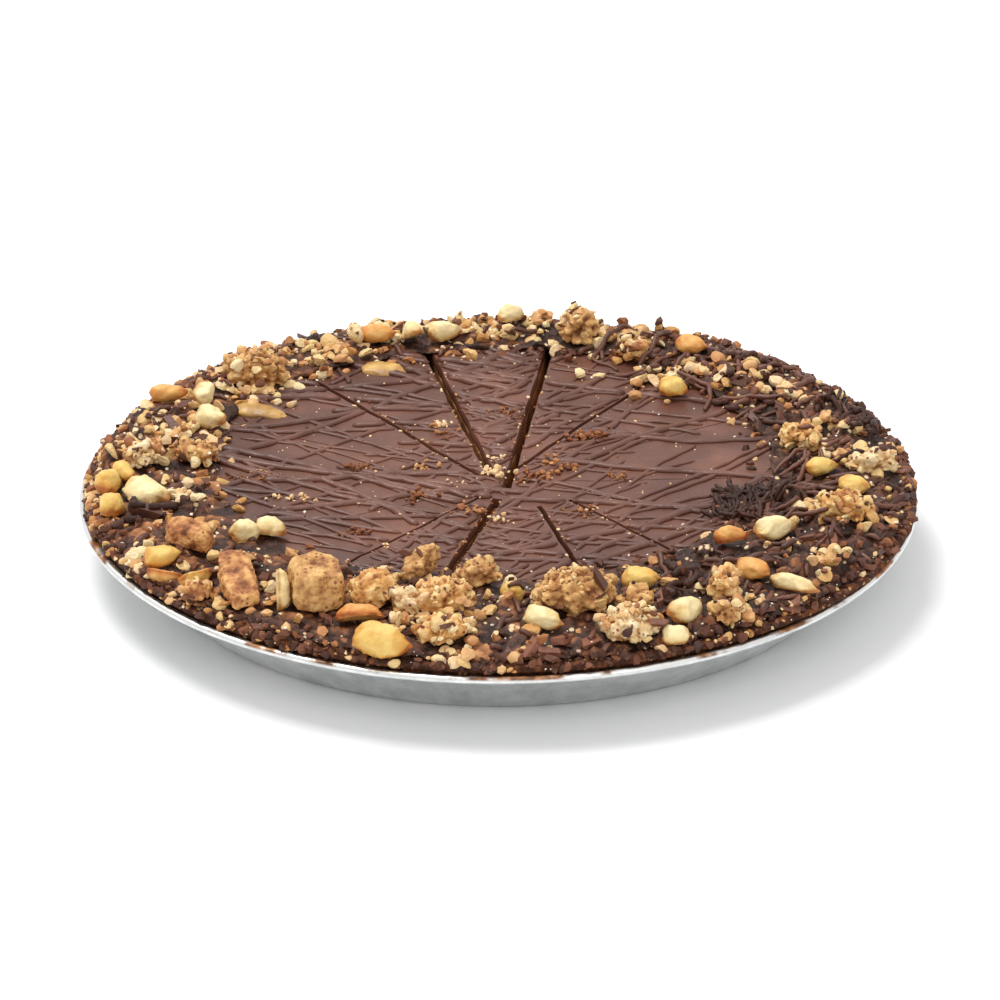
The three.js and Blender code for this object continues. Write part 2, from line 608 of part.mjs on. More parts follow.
const foil = new THREE.MeshStandardMaterial({ color: PAN_COLOUR, roughness: 0.35, metalness: 1 });
add("foil_pan", panGeometry(), foil);
add("crumb_crust", crustGeometry(), matte(CRUST_COLOUR, 0.9));
add("peanut_butter_filling", geometryOf(fillingSolid()), matte(FILLING_COLOUR));
add("chocolate_top", geometryOf(chocolateSolid()), matte(CHOCOLATE_COLOUR, 0.45));

const { toppings, taken } = toppingSolids();
add("nut_border", geometryOf(borderSolid(taken)), matte(BORDER_COLOUR));
for (const { name, colour, solid } of toppings) add(name, geometryOf(solid), matte(colour));

export default pie;
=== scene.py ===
import random
from math import atan2, cos, exp, hypot, pi, radians, sin, sqrt, tau

import bmesh
import bpy
from mathutils import Euler, Matrix, Vector, noise
from mathutils.bvhtree import BVHTree


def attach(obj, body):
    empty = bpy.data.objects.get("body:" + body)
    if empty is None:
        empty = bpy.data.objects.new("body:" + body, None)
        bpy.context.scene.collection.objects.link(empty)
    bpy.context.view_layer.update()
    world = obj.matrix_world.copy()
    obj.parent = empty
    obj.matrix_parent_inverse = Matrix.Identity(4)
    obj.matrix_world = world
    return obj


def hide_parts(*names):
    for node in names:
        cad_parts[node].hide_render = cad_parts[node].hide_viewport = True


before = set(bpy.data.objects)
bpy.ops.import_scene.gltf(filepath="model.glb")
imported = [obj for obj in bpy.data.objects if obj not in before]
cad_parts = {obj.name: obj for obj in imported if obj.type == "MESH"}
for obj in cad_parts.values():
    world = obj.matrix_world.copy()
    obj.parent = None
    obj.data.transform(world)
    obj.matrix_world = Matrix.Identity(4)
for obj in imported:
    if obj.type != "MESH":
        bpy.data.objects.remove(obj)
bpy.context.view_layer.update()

# ---- Foil pan ----
# A ten inch pan pressed from aluminium foil: a flat base, a smooth sloping wall, a flat lip and a rim
# rolled over a bead. Caramel and chocolate have run over the lip in places.
MM = 0.001
PAN_STEPS = 240
FLAT_BELOW = 1.8
MERGE_DISTANCE = 1e-6
BEAD = [(125.9 + 1.1 * cos(radians(a)), 19.9 + 1.1 * sin(radians(a))) for a in range(-150, 121, 27)]
PAN_OUTLINE = [(0, 0), (101, 0), (103.4, 0.3), (104.6, 1), (123.4, 19.6)] + BEAD + [
    (123.8, 20.2), (104.2, 1.5), (103, 0.8), (101, 0.6), (0, 0.6)]


def paint(red, green, blue):
    """A colour as it looks, 0 to 255, as the linear colour that a node takes."""
    parts = [v / 255 for v in (red, green, blue)]
    return tuple(v / 12.92 if v <= 0.04045 else ((v + 0.055) / 1.055) ** 2.4 for v in parts) + (1.0,)


def set_up(thing, **settings):
    """Gives a thing its settings."""
    for key, value in settings.items():
        setattr(thing, key, value)
    return thing


def put(tree, kind, inputs=None, **settings):
    """Adds a shader node. An input may be a value or another node's output."""
    node = set_up(tree.nodes.new("ShaderNode" + kind), **settings)
    for key, value in (inputs or {}).items():
        if isinstance(value, bpy.types.NodeSocket):
            tree.links.new(value, node.inputs[key])
        else:
            node.inputs[key].default_value = value
    return node


def maths(tree, operation, first, second):
    """The sum, product or difference of two numbers."""
    return put(tree, "Math", {0: first, 1: second}, operation=operation).outputs[0]


def ranged(tree, value, low, high, first=0.0, last=1.0):
    """A number that goes from first to last while the value goes from low to high."""
    ends = {"Value": value, "From Min": low, "From Max": high, "To Min": first, "To Max": last}
    return put(tree, "MapRange", ends).outputs["Result"]


def here(tree):
    """Where a point lies on its object, in metres."""
    return put(tree, "TexCoord").outputs["Object"]


def axis(tree, name):
    """Where a point lies along one axis."""
    return put(tree, "SeparateXYZ", {"Vector": here(tree)}).outputs[name]


def blended(tree, factor, *ends):
    """One colour that turns into another as the factor goes from 0 to 1."""
    first, second = (paint(*end) if isinstance(end, tuple) else end for end in ends)
    return put(tree, "Mix", {0: factor, 6: first, 7: second}, data_type="RGBA").outputs[2]


def ramp(tree, factor, *stops):
    """A colour read off a row of (place, colour) stops."""
    node = put(tree, "ValToRGB", {"Fac": factor})
    elements = node.color_ramp.elements
    while len(elements) < len(stops):
        elements.new(1.0)
    for element, (place, colour) in zip(elements, stops):
        element.position = place
        element.color = paint(*colour)
    return node.outputs["Color"]


def group(name, inputs, output):
    """Starts a shader node group with named number inputs and one number output."""
    tree = bpy.data.node_groups.new(name, "ShaderNodeTree")
    for key, value in inputs.items():
        socket = tree.interface.new_socket(key, in_out="INPUT", socket_type="NodeSocketFloat")
        socket.default_value = value
    tree.interface.new_socket(output, in_out="OUTPUT", socket_type="NodeSocketFloat")
    return tree, here(tree), tree.nodes.new("NodeGroupInput").outputs


def gives(tree, value):
    """Ends a node group, which puts out this value."""
    tree.links.new(value, tree.nodes.new("NodeGroupOutput").inputs[0])


# Patches: a cloudy noise, clipped so that it leaves smooth blotches.
patches, place, given = group("patches", {"Scale": 100.0, "From": 0.4, "To": 0.6, "Detail": 3.0}, "Mask")
cloud = put(patches, "TexNoise", {"Vector": place, "Scale": given["Scale"], "Detail": given["Detail"]})
gives(patches, ranged(patches, cloud.outputs["Fac"], given["From"], given["To"]))

# Grain: the height of fine crumbs, for a bump.
grain, place, given = group("grain", {"Scale": 900.0, "Coarse": 0.4}, "Height")
fine = put(grain, "TexNoise", {"Vector": place, "Scale": given["Scale"], "Detail": 4.0})
wide = maths(grain, "MULTIPLY", given["Scale"], given["Coarse"])
lumpy = put(grain, "TexNoise", {"Vector": place, "Scale": wide, "Detail": 2.0})
gives(grain, maths(grain, "ADD", fine.outputs["Fac"], lumpy.outputs["Fac"]))


def use(tree, node_group, **values):
    """Places a shader node group and gives its output."""
    return put(tree, "Group", values, node_tree=node_group).outputs[0]


def blotches(tree, scale, low=0.4, high=0.6, detail=3.0):
    """Smooth patches between 0 and 1. The scale is how many there are in a metre."""
    return use(tree, patches, Scale=scale, From=low, To=high, Detail=detail)


def material(name, **sockets):
    """A new material with its shader's own sockets set. Gives the material and its tree."""
    made = bpy.data.materials.new(name)
    made.use_nodes = True
    shader = made.node_tree.nodes["Principled BSDF"]
    for key, value in sockets.items():
        shader.inputs[key.replace("_", " ").title().replace("Ior", "IOR")].default_value = value
    return made, made.node_tree


def wire(tree, colour, scale, depth, coarse=0.4, **others):
    """Joins a colour, a bump of crumbly grain and other values to the shader. The depth is in mm."""
    height = use(tree, grain, Scale=scale, Coarse=coarse)
    bump = put(tree, "Bump", {"Height": height, "Distance": depth * MM}).outputs["Normal"]
    for socket, value in {"Base Color": colour, "Normal": bump, **others}.items():
        tree.links.new(value, tree.nodes["Principled BSDF"].inputs[socket])


def turned(outline, steps):
    """Turns an outline of (radius, height) points, in mm, into a closed shape round Z."""
    bm = bmesh.new()
    points = [bm.verts.new((radius * MM, 0, height * MM)) for radius, height in outline]
    edges = [bm.edges.new(pair) for pair in zip(points, points[1:])]
    if outline[0][0] > 0:
        edges.append(bm.edges.new((points[-1], points[0])))
    bmesh.ops.spin(bm, geom=points + edges, cent=(0, 0, 0), axis=(0, 0, 1), angle=tau,
                   steps=steps, use_merge=True)
    bmesh.ops.remove_doubles(bm, verts=bm.verts, dist=MERGE_DISTANCE)
    bmesh.ops.recalc_face_normals(bm, faces=bm.faces)
    return bm


def placed(name, data):
    """A new object in the scene."""
    made = bpy.data.objects.new(name, data)
    bpy.context.scene.collection.objects.link(made)
    return made


def piece(name, bm, finish, slot, *stands_for, crease=None):
    """Makes a finished piece of a shape. Edges sharper than the crease, in degrees, stay sharp."""
    if crease is not None:
        for edge in bm.edges:
            edge.smooth = len(edge.link_faces) != 2 or edge.calc_face_angle(0) < radians(crease)
    for face in bm.faces:
        face.smooth = True
    mesh = bpy.data.meshes.new(name)
    bm.to_mesh(mesh)
    bm.free()
    mesh.materials.append(finish)
    made = placed(name, mesh)
    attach(made, "root")
    if stands_for:
        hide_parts(*stands_for)
    return made


pan = turned(PAN_OUTLINE, PAN_STEPS)
for point in pan.verts:
    turn = atan2(point.co.y, point.co.x)
    edge = max(0.0, (point.co.z / MM - 14) / 7)
    dent = 0.3 * noise.noise(Vector((3 * cos(turn), 3 * sin(turn), 0)))
    dent += 0.16 * edge * noise.noise(Vector((26 * cos(turn), 26 * sin(turn), 5)))
    if point.co.z > FLAT_BELOW * MM:
        point.co.x += dent * MM * cos(turn)
        point.co.y += dent * MM * sin(turn)

foil, tree = material("foil", metallic=1.0, roughness=0.36)
drawn = put(tree, "Mapping", {"Vector": here(tree), "Scale": (1.0, 1.0, 0.25)}).outputs[0]
streaks = put(tree, "TexNoise", {"Vector": drawn, "Scale": 160.0, "Detail": 5.0, "Roughness": 0.65})
wall = ramp(tree, streaks.outputs["Fac"], (0.3, (196, 200, 200)), (0.55, (224, 226, 225)),
            (0.75, (246, 246, 243)))
# The top of the rolled rim is painted near white: a painted highlight where the foil reflects the light
# above. The caramel and chocolate smears lie in the same band.
rim = ranged(tree, axis(tree, "Z"), 20.05 * MM, 20.5 * MM)
wall_and_rim_highlight = blended(tree, rim, wall, (232, 231, 228))
runs = blotches(tree, 75.0, 0.51, 0.59, 6.0)
smeared = maths(tree, "MULTIPLY", runs, rim)
smear = blended(tree, blotches(tree, 300.0), (176, 116, 62), (104, 64, 36))
bare = maths(tree, "SUBTRACT", 1.0, smeared)
wire(tree, blended(tree, smeared, wall_and_rim_highlight, smear), 260.0, 0.12, 0.2, Metallic=bare)
pan = piece("foil_pan_dressed", pan, foil, "foil", "foil_pan", crease=60)

# ---- Crumb crust ----
# Dark biscuit crumbs pressed against the pan's wall, their colour made darker still as painted shade for the
# heap that overhangs it. The top edge stands a little above the rim and has spread over the lip at the
# viewer's right. It is uneven, with single crumbs standing out.
CRUST_STEPS = 420
CRUST_RIM = 123.16
CRUST_INNER = 116.92
CRUST_EVEN_BELOW = 21
OVERHANG_LEAST = 1.2
OVERHANG_MOST = 3.5
CRUST_EDGE = [
    (0.02, 21.32), (0.6, 21.34), (0.9, 21.5), (1, 21.9), (1, 22.5), (0.93, 23), (0.8, 23.25), (0.4, 23.4),
]


def lumps(turn, seed):
    """A smooth wave round the pie, from -1 to 1."""
    wave = 0.5 * sin(5 * turn + seed) + 0.3 * sin(11 * turn + 2.3 * seed)
    return wave + 0.2 * sin(19 * turn + 3.7 * seed)


def overhang(turn):
    """How far the food lies over the pan's lip, in mm."""
    share = min(1.0, max(0.0, (cos(turn - radians(8)) - 0.25) / 0.6))
    return OVERHANG_LEAST + (OVERHANG_MOST - OVERHANG_LEAST) * share * share * (3 - 2 * share)


outline = [(0, 0.92), (102.4, 0.92), (CRUST_RIM, 20.2)]
outline += [(CRUST_RIM + share, height) for share, height in CRUST_EDGE]
outline += [(CRUST_RIM - 1.5, 23.45), (119.5, 23.4), (118, 23.35), (CRUST_INNER, 23.3), (CRUST_INNER, 20.32),
            (97.8, 5.12), (0, 5.12)]
crust = turned(outline, CRUST_STEPS)
for point in crust.verts:
    radius, turn = hypot(point.co.x, point.co.y) / MM, atan2(point.co.y, point.co.x)
    if point.co.z > CRUST_EVEN_BELOW * MM and radius > CRUST_INNER - 1:
        share = max(0.0, radius - CRUST_RIM)
        if share:
            radius = CRUST_RIM + share * (0.2 + overhang(turn) + 0.25 * lumps(turn, 2))
        bump = 0.5 * noise.noise(point.co / (1.4 * MM)) + 0.9 * noise.noise(point.co / (4.5 * MM))
        radius += bump * share
        height = point.co.z / MM + 0.5 * bump
        point.co = Vector((radius * cos(turn), radius * sin(turn), height)) * MM

# Specks: small spots, of which only a share of the cells has one.
specks, place, given = group("specks", {"Scale": 400.0, "Share": 0.2, "Size": 0.35}, "Mask")
cells = put(specks, "TexVoronoi", {"Vector": place, "Scale": given["Scale"], "Randomness": 1.0})
drawn = put(specks, "SeparateColor", {"Color": cells.outputs["Color"]}).outputs["Red"]
near = ranged(specks, cells.outputs["Distance"], given["Size"], 0.0)
spot = maths(specks, "MULTIPLY", near, maths(specks, "LESS_THAN", drawn, given["Share"]))
gives(specks, put(specks, "Math", {0: spot, 1: 3.0}, operation="MULTIPLY", use_clamp=True).outputs[0])

crumb, tree = material("crumb_crust", roughness=0.8, specular_ior_level=0.2)
# These browns are the crumbs' own dark colour, made darker still as painted shade for the heap that overhangs
# the crust's edge.
brown = ramp(tree, blotches(tree, 420.0, 0.25, 0.75, 5.0), (0.0, (38, 20, 12)), (0.5, (72, 40, 24)),
             (0.8, (112, 64, 38)))
pale = blended(tree, use(tree, specks, Scale=640.0, Share=0.1, Size=0.5), brown, (196, 146, 94))
wire(tree, pale, 700.0, 1.0)
crust_piece = piece("crumb_crust_dressed", crust, crumb, "crust", "crumb_crust")

# ---- Peanut butter filling ----
# A smooth set filling that fills the crust. It shows only at the sides of the cuts, where the knife has
# drawn chocolate down over it.
filling, tree = material("peanut_butter_filling", roughness=0.5)
caramel = ramp(tree, blotches(tree, 90.0, 0.3, 0.7, 5.0), (0.0, (96, 58, 36)), (0.5, (158, 102, 58)),
               (1.0, (204, 148, 92)))
wire(tree, caramel, 500.0, 0.5)
filling_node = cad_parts["peanut_butter_filling"]
filling_node.material_slots[0].material = filling

# ---- Chocolate sheet ----
# Chocolate poured over the filling and set with a satin skin. A long knife has cut it into fourteen
# slices, and each cut leaves a groove with worn edges.
CHOCOLATE_TOP = 24.32
CHOCOLATE_STEPS = 260
SKIN_ABOVE = 23.9
KNIFE_MIDDLE = 24
KNIFE_HEIGHT = 14
KNIFE_SLICES = 22
# Each cut has its plan angle, how far it lies to the left of the middle, its two ends and its width.
# Six of them have closed up again, so that only a hairline is left.
CUTS = [
    (3, -1, 8, 112, 0.3), (31, 1, 6, 112, 0.3), (57.5, 0.3, 5, 113, 1.1), (82.5, -3, -4, 113, 2.4),
    (102.4, 0.9, 8, 114, 2.4), (126, 2.3, 6, 114, 1.2), (153, 0, 7, 112, 0.3), (180, 1, 8, 112, 0.3),
    (206, 3, 10, 112, 0.3), (230, 3, 12, 113, 0.8), (254, 3.4, 12, 114, 2.4), (285, 7.4, 20, 113, 1.3),
    (310.7, 7.7, 24, 113, 1.0), (335, 4, 14, 112, 0.3),
]


def chocolate_height(x, y):
    """The height of the chocolate's skin at a place, all in mm."""
    broad = noise.noise(Vector((x / 24, y / 24, 1)))
    return CHOCOLATE_TOP + 0.5 * broad + 0.22 * noise.noise(Vector((x / 9, y / 9, 7)))


def modified(shape, kind, **settings):
    """The shape as one of Blender's modifiers leaves it. The shape is used up."""
    mesh = bpy.data.meshes.new("blank")
    shape.to_mesh(mesh)
    shape.free()
    blank = placed("blank", mesh)
    set_up(blank.modifiers.new("change", kind), **settings)
    changed = bmesh.new()
    changed.from_object(blank, bpy.context.evaluated_depsgraph_get())
    bpy.data.objects.remove(blank)
    bpy.data.meshes.remove(mesh)
    return changed


def sliced(bm, place, normal, **settings):
    """Cuts a shape by a plane, and gives all that lies on the plane."""
    whole = bm.verts[:] + bm.edges[:] + bm.faces[:]
    return bmesh.ops.bisect_plane(bm, geom=whole, plane_co=place, plane_no=normal, **settings)["geom_cut"]


rings = [(radius, CHOCOLATE_TOP) for radius in range(114, 0, -2)]
edge_points = [(0, 21.32), (116.4, 21.32), (116.4, 23.4), (115.8, 24.1)]
sheet = turned(edge_points + rings + [(0, CHOCOLATE_TOP)], CHOCOLATE_STEPS)
for i, (angle, aside, start, end, width) in enumerate(CUTS):
    knife = bmesh.new()
    bmesh.ops.create_cube(knife, size=1.0)
    length = end - start
    bmesh.ops.scale(knife, vec=(length * MM, width * MM, KNIFE_HEIGHT * MM), verts=knife.verts)
    middle = ((start + end) / 2 * MM, aside * MM, KNIFE_MIDDLE * MM)
    bmesh.ops.translate(knife, vec=middle, verts=knife.verts)
    for step in range(1, KNIFE_SLICES):
        sliced(knife, Vector(((start + length * step / KNIFE_SLICES) * MM, 0, 0)), (1, 0, 0))
    for level in (23.5, 24.5):
        sliced(knife, (0, 0, level * MM), (0, 0, 1))
    for point in knife.verts:
        flare = 0.16 * width if point.co.z > 24.4 * MM else 0.0
        side = 1 if point.co.y > aside * MM else -1
        wander = 0.5 * noise.noise(Vector((point.co.x / (7 * MM), i, 0)))
        wander += 0.16 * width * noise.noise(Vector((point.co.x / (4 * MM), side * 3, i)))
        point.co.y += (side * flare + wander) * MM
    heading = Matrix.Rotation(radians(angle), 3, "Z")
    bmesh.ops.rotate(knife, verts=knife.verts, cent=(0, 0, 0), matrix=heading)
    bmesh.ops.recalc_face_normals(knife, faces=knife.faces)
    cutter = bpy.data.objects.new("knife", bpy.data.meshes.new("knife"))
    knife.to_mesh(cutter.data)
    knife.free()
    sheet = modified(sheet, "BOOLEAN", operation="DIFFERENCE", solver="MANIFOLD", object=cutter)
    bpy.data.objects.remove(cutter)
bmesh.ops.dissolve_degenerate(sheet, dist=0.02 * MM, edges=sheet.edges)
for point in sheet.verts:
    if point.co.z > SKIN_ABOVE * MM:
        x, y = point.co.x / MM, point.co.y / MM
        point.co.z += (chocolate_height(x, y) - CHOCOLATE_TOP) * MM


def chocolate_finish(name, light, mid, dark, gloss=0.5):
    """Set chocolate: a satin skin with a faint bloom and fine unevenness, paler towards the middle."""
    made, tree = material(name, roughness=0.45, specular_ior_level=gloss)
    cloudy = blotches(tree, 50.0, 0.28, 0.72, 6.0)
    skin = ramp(tree, cloudy, (0.0, dark), (0.5, mid), (1.0, light))
    # The skin turns paler towards the middle of the sheet.
    middle = put(tree, "VectorMath", {0: here(tree), 1: (0, 0.01, 0.024)}, operation="DISTANCE")
    paler_middle = ranged(tree, middle.outputs["Value"], 0.085, 0.01, last=0.5)
    skin = blended(tree, paler_middle, skin, light)
    dull = ranged(tree, blotches(tree, 600.0, 0.35, 0.75), 0, 1, 0.39, 0.55)
    wire(tree, skin, 240.0, 0.35, Roughness=dull)
    return made


chocolate = chocolate_finish("chocolate", (119, 73, 55), (89, 51, 37), (69, 37, 27))
sheet = piece("chocolate_sheet", sheet, chocolate, "chocolate", "chocolate_top", crease=32)

# ---- Drizzle ----
# Lines of the same chocolate, flicked over the set sheet from side to side while soft. They are flat
# underneath, lie in a net of crossings, run together towards the viewer's left, and the knife has gone
# through them too.
# Each sweep has its heading, the spacing of its lines, the side it lies on and its seed.
SWEEPS = [
    (-38, 7, -1, 1), (-20, 8, -1, 2), (8, 15, -1, 7), (46, 14, -1, 3), (52, 6.5, 1, 4), (-13, 7, 1, 5),
    (27, 13, 1, 6),
]
DRIZZLE_REACH = 100
DRIZZLE_STEP = 1.6
SHORTEST_RUN = 3
CLOSED_UP = 0.5
STRAND_MERGE_DISTANCE = 1e-7
WIDE_CUT = 2
PIE_REACH = 127


def in_a_cut(x, y, spare, through=False):
    """Whether a place is in an open cut, or closer to one than the spare mm. Only the two wide cuts at
    the back go on through the heap."""
    for angle, aside, start, end, width in CUTS:
        turn = radians(angle)
        along = x * cos(turn) + y * sin(turn)
        across = y * cos(turn) - x * sin(turn) - aside
        if width < CLOSED_UP or (through and (width < WIDE_CUT or angle > 180)):
            continue
        reach = PIE_REACH if through else end
        if start - spare < along < reach + spare and abs(across) < width / 2 + spare:
            return True
    return False


def strands(name, runs, finish, thick, flatten=None):
    """One piece of many round strands. Each run is a list of (point in mm, share of the thickness)."""
    curve = set_up(bpy.data.curves.new(name, "CURVE"), dimensions="3D", bevel_depth=thick / 2 * MM,
                   bevel_resolution=1, use_fill_caps=True)
    for run in runs:
        line = curve.splines.new("POLY")
        line.points.add(len(run) - 1)
        for point, (place, share) in zip(line.points, run):
            point.co = (*(place * MM), 1)
            point.radius = share
    holder = placed("blank", curve)
    solid = holder.evaluated_get(bpy.context.evaluated_depsgraph_get())
    bm = bmesh.new()
    bm.from_mesh(bpy.data.meshes.new_from_object(solid))
    bpy.data.objects.remove(holder)
    bmesh.ops.remove_doubles(bm, verts=bm.verts, dist=STRAND_MERGE_DISTANCE)
    for point in bm.verts if flatten else ():
        skin = chocolate_height(point.co.x / MM, point.co.y / MM) * MM
        point.co.z = skin + (point.co.z - skin) * flatten
    return piece(name, bm, finish, "chocolate")


luck = random.Random(11)
runs = []
for heading, spacing, side, seed in SWEEPS:
    for i in range(int(2 * DRIZZLE_REACH / spacing)):
        slant = radians(heading + luck.uniform(-11, 11))
        along = Vector((cos(slant), sin(slant), 0))
        across = Vector((-along.y, along.x, 0))
        aside = -DRIZZLE_REACH + spacing * (i + luck.uniform(-0.5, 0.5))
        first, last = luck.uniform(-130, -30), luck.uniform(30, 130)
        thick = luck.choice((0.7, 0.85, 1.0, 1.0, 1.25, 1.5))
        sway, bend = luck.uniform(2, 5), luck.uniform(-0.0012, 0.0012)
        run = []
        for step in range(int((last - first) / DRIZZLE_STEP)):
            t = first + step * DRIZZLE_STEP
            wave = sway * noise.noise(Vector((t / 40, seed, i))) + 0.8 * noise.noise(Vector((t / 7, i, seed)))
            spot = along * t + across * (aside + wave + bend * t * t)
            inside = side * spot.x > 12 * noise.noise(Vector((i * 1.7, seed, 3))) - 6
            if not inside or spot.length > DRIZZLE_REACH or in_a_cut(spot.x, spot.y, 0.4):
                if len(run) > SHORTEST_RUN:
                    runs.append(run)
                run = []
                continue
            share = thick * (1 + 0.5 * noise.noise(Vector((t / 5, i, seed))))
            if side < 0:
                share *= 1 + 0.6 * max(0.0, spot.length - 62) / 35
            spot.z = chocolate_height(spot.x, spot.y) + 0.2 * share
            run.append((spot, share))
        if len(run) > SHORTEST_RUN:
            runs.append(run)
for run in runs:
    for end in (0, -1):
        run[end] = (run[end][0] - Vector((0, 0, 0.5)), run[end][1] * 0.6)
drizzle = strands("drizzle", runs, chocolate, 2.0, flatten=0.6)

# ---- Border heap ----
# Chocolate, biscuit crumbs and chopped nuts heaped round the edge and stuck together. Its core is the
# mixed mass between the larger pieces, knobbly all over.


def merged_copy(node):
    """A node's solid as a shape, with its corners joined."""
    bm = bmesh.new()
    bm.from_mesh(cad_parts[node].data)
    bmesh.ops.remove_doubles(bm, verts=bm.verts, dist=MERGE_DISTANCE)
    return bm


def roughened(bm, *layers):
    """Moves the surface in and out. Each layer is (kind, size of its bumps, height), in mm."""
    relief = bm.verts.layers.float.new("relief")
    bm.normal_update()
    whole = sum(height for _, _, height in layers)
    moves = []
    for point in bm.verts:
        total = 0.0
        for kind, size, height in layers:
            place = point.co / (size * MM)
            if kind == "bumps":
                total += height * noise.noise(place)
            elif kind == "crumbs":
                total += height * (0.9 - 2 * noise.voronoi(place)[0][0])
            else:
                total += height
        point[relief] = total / whole
        moves.append(point.normal * (total * MM))
    for point, move in zip(bm.verts, moves):
        point.co += move


def own(tree, name):
    """A number that each corner of the mesh carries."""
    return put(tree, "Attribute", attribute_name=name).outputs["Fac"]


HEAP_VOXEL = 1.05
heap = modified(merged_copy("nut_border"), "REMESH", mode="VOXEL", voxel_size=HEAP_VOXEL * MM)
roughened(heap, ("bumps", 9, 1), ("crumbs", 4, 0.9), ("bumps", 2, 0.7), ("level", 1, -0.6))

mixed, tree = material("border_mix", roughness=0.5, specular_ior_level=0.3)
# Darker in the mass's hollows and paler on its knobs: partly chocolate settled in the hollows, partly painted
# shade in the hollows and painted highlight on the knobs.
shared = ranged(tree, own(tree, "relief"), -0.6, 0.6)
cocoa = ramp(tree, shared, (0.1, (48, 27, 18)), (0.5, (92, 56, 40)), (0.9, (124, 80, 56)))
toffee = ramp(tree, shared, (0.1, (86, 48, 28)), (0.5, (168, 110, 66)), (0.9, (216, 168, 112)))
least = ranged(tree, axis(tree, "X"), -0.12, 0.1, 0.48, 0.6)
nutty = blotches(tree, 110.0, least, maths(tree, "ADD", least, 0.05), 6.0)
colour = blended(tree, nutty, cocoa, toffee)
colour = blended(tree, use(tree, specks, Scale=520.0, Share=0.07, Size=0.5), colour, (224, 196, 156))
wire(tree, colour, 800.0, 0.8)
heap = piece("nut_border_dressed", heap, mixed, "border", "nut_border")

# ---- Candy chunks ----
# Broken pieces of peanut butter candy and peanut brittle. Each is a rounded lump of toffee crumbs with
# chopped nuts stuck in it: brown in its hollows, partly its own chocolate and partly painted shade, and pale
# on its raised spots, partly where it has been knocked and partly a painted highlight.
# Each has its colours, how many pieces of nut are stuck in it, and how rough it is.
CANDY = {
    "tan": ((112, 64, 34), (186, 133, 78), (226, 182, 118)),
    "brown": ((98, 54, 30), (172, 110, 64), (222, 170, 106)),
    "cream": ((140, 86, 48), (216, 178, 124), (242, 224, 184)),
    "gold": ((132, 72, 30), (206, 148, 82), (240, 204, 140)),
}
CHUNKS = {
    "block_front": ("tan", 0, 0.12), "cluster_front": ("tan", 26, 1), "long_left": ("brown", 0, 0.2),
    "brown_left": ("brown", 0, 0.2), "back_left": ("tan", 18, 1), "low_front": ("gold", 18, 1),
    "middle_front": ("gold", 10, 0.8), "cream_right": ("cream", 8, 0.8), "cream_front": ("cream", 2, 0.5),
    "inner_front": ("tan", 10, 1), "bar_front": ("tan", 1, 0.7), "gold_front": ("gold", 4, 0.6),
    "gold_right": ("gold", 6, 1), "low_right": ("tan", 8, 1), "inner_right": ("tan", 8, 1),
    "slab_right": ("gold", 12, 0.8), "flat_right": ("cream", 8, 0.8), "far_right": ("gold", 8, 1),
    "back_top": ("tan", 10, 1), "back_right": ("brown", 6, 1), "sandy_left": ("tan", 14, 1),
    "crumbly_left": ("cream", 16, 1), "speckled_left": ("brown", 6, 1),
}
# Three of them broke with flat sides, each turned by so many degrees.
FLAT_SIDED = {"block_front": 10, "long_left": -72, "brown_left": -34}
FLAT_SHARE = 0.84
CANDY_VOXEL = 0.5
candy = {}
for colour_name, (low, mid, high) in CANDY.items():
    candy[colour_name], tree = material("candy_" + colour_name, roughness=0.55, specular_ior_level=0.3)
    blotch = blotches(tree, 380.0, 0.2, 0.8, 6.0)
    # Brown in the hollows and pale on the raised spots: partly the candy's own chocolate and knocked crumbs,
    # partly painted shade and painted highlight.
    shared = ranged(tree, maths(tree, "ADD", own(tree, "relief"), blotch), -0.1, 1.1)
    colour = ramp(tree, shared, (0.0, low), (0.35, mid), (0.8, high))
    colour = blended(tree, use(tree, specks, Scale=700.0, Share=0.24, Size=0.5), colour, (146, 92, 54))
    wire(tree, colour, 900.0, 0.7)


def broken_flat(lump, yaw):
    """Cuts a lump's four sides and its top flat, each at a share of its reach."""
    middle = sum((point.co for point in lump.verts), Vector()) / len(lump.verts)
    turns = [radians(yaw + quarter) for quarter in (0, 90, 180, 270)]
    sides = [Vector((cos(turn), sin(turn), 0.1)) for turn in turns] + [Vector((0.1, -0.16, 1))]
    for side in sides:
        side.normalize()
        reach = max((point.co - middle).dot(side) for point in lump.verts)
        cut = sliced(lump, middle + side * reach * FLAT_SHARE, side, clear_outer=True)
        rim = [each for each in cut if isinstance(each, bmesh.types.BMEdge)]
        bmesh.ops.contextual_create(lump, geom=rim)


chunks = []
stuck_in = []
for name, (colour_name, count, depth) in CHUNKS.items():
    lump = merged_copy("chunk_" + name)
    luck = random.Random(name)
    if name in FLAT_SIDED:
        broken_flat(lump, FLAT_SIDED[name])
    lump = modified(lump, "REMESH", mode="VOXEL", voxel_size=CANDY_VOXEL * MM)
    bmesh.ops.smooth_vert(lump, verts=lump.verts, factor=0.5, use_axis_x=True, use_axis_y=True,
                          use_axis_z=True)
    roughened(lump, ("bumps", 5, 0.4 + 0.6 * depth), ("crumbs", 3.6, 1.5 * depth),
              ("crumbs", 1.7, 0.7 * depth), ("bumps", 0.8, 0.25))
    lump.faces.ensure_lookup_table()
    for side in luck.sample(range(len(lump.faces)), count):
        stuck_in.append((lump.faces[side].calc_center_median(), lump.faces[side].normal.copy()))
    chunks.append(piece("candy_" + name, lump, candy[colour_name], "candy_chunk", "chunk_" + name))
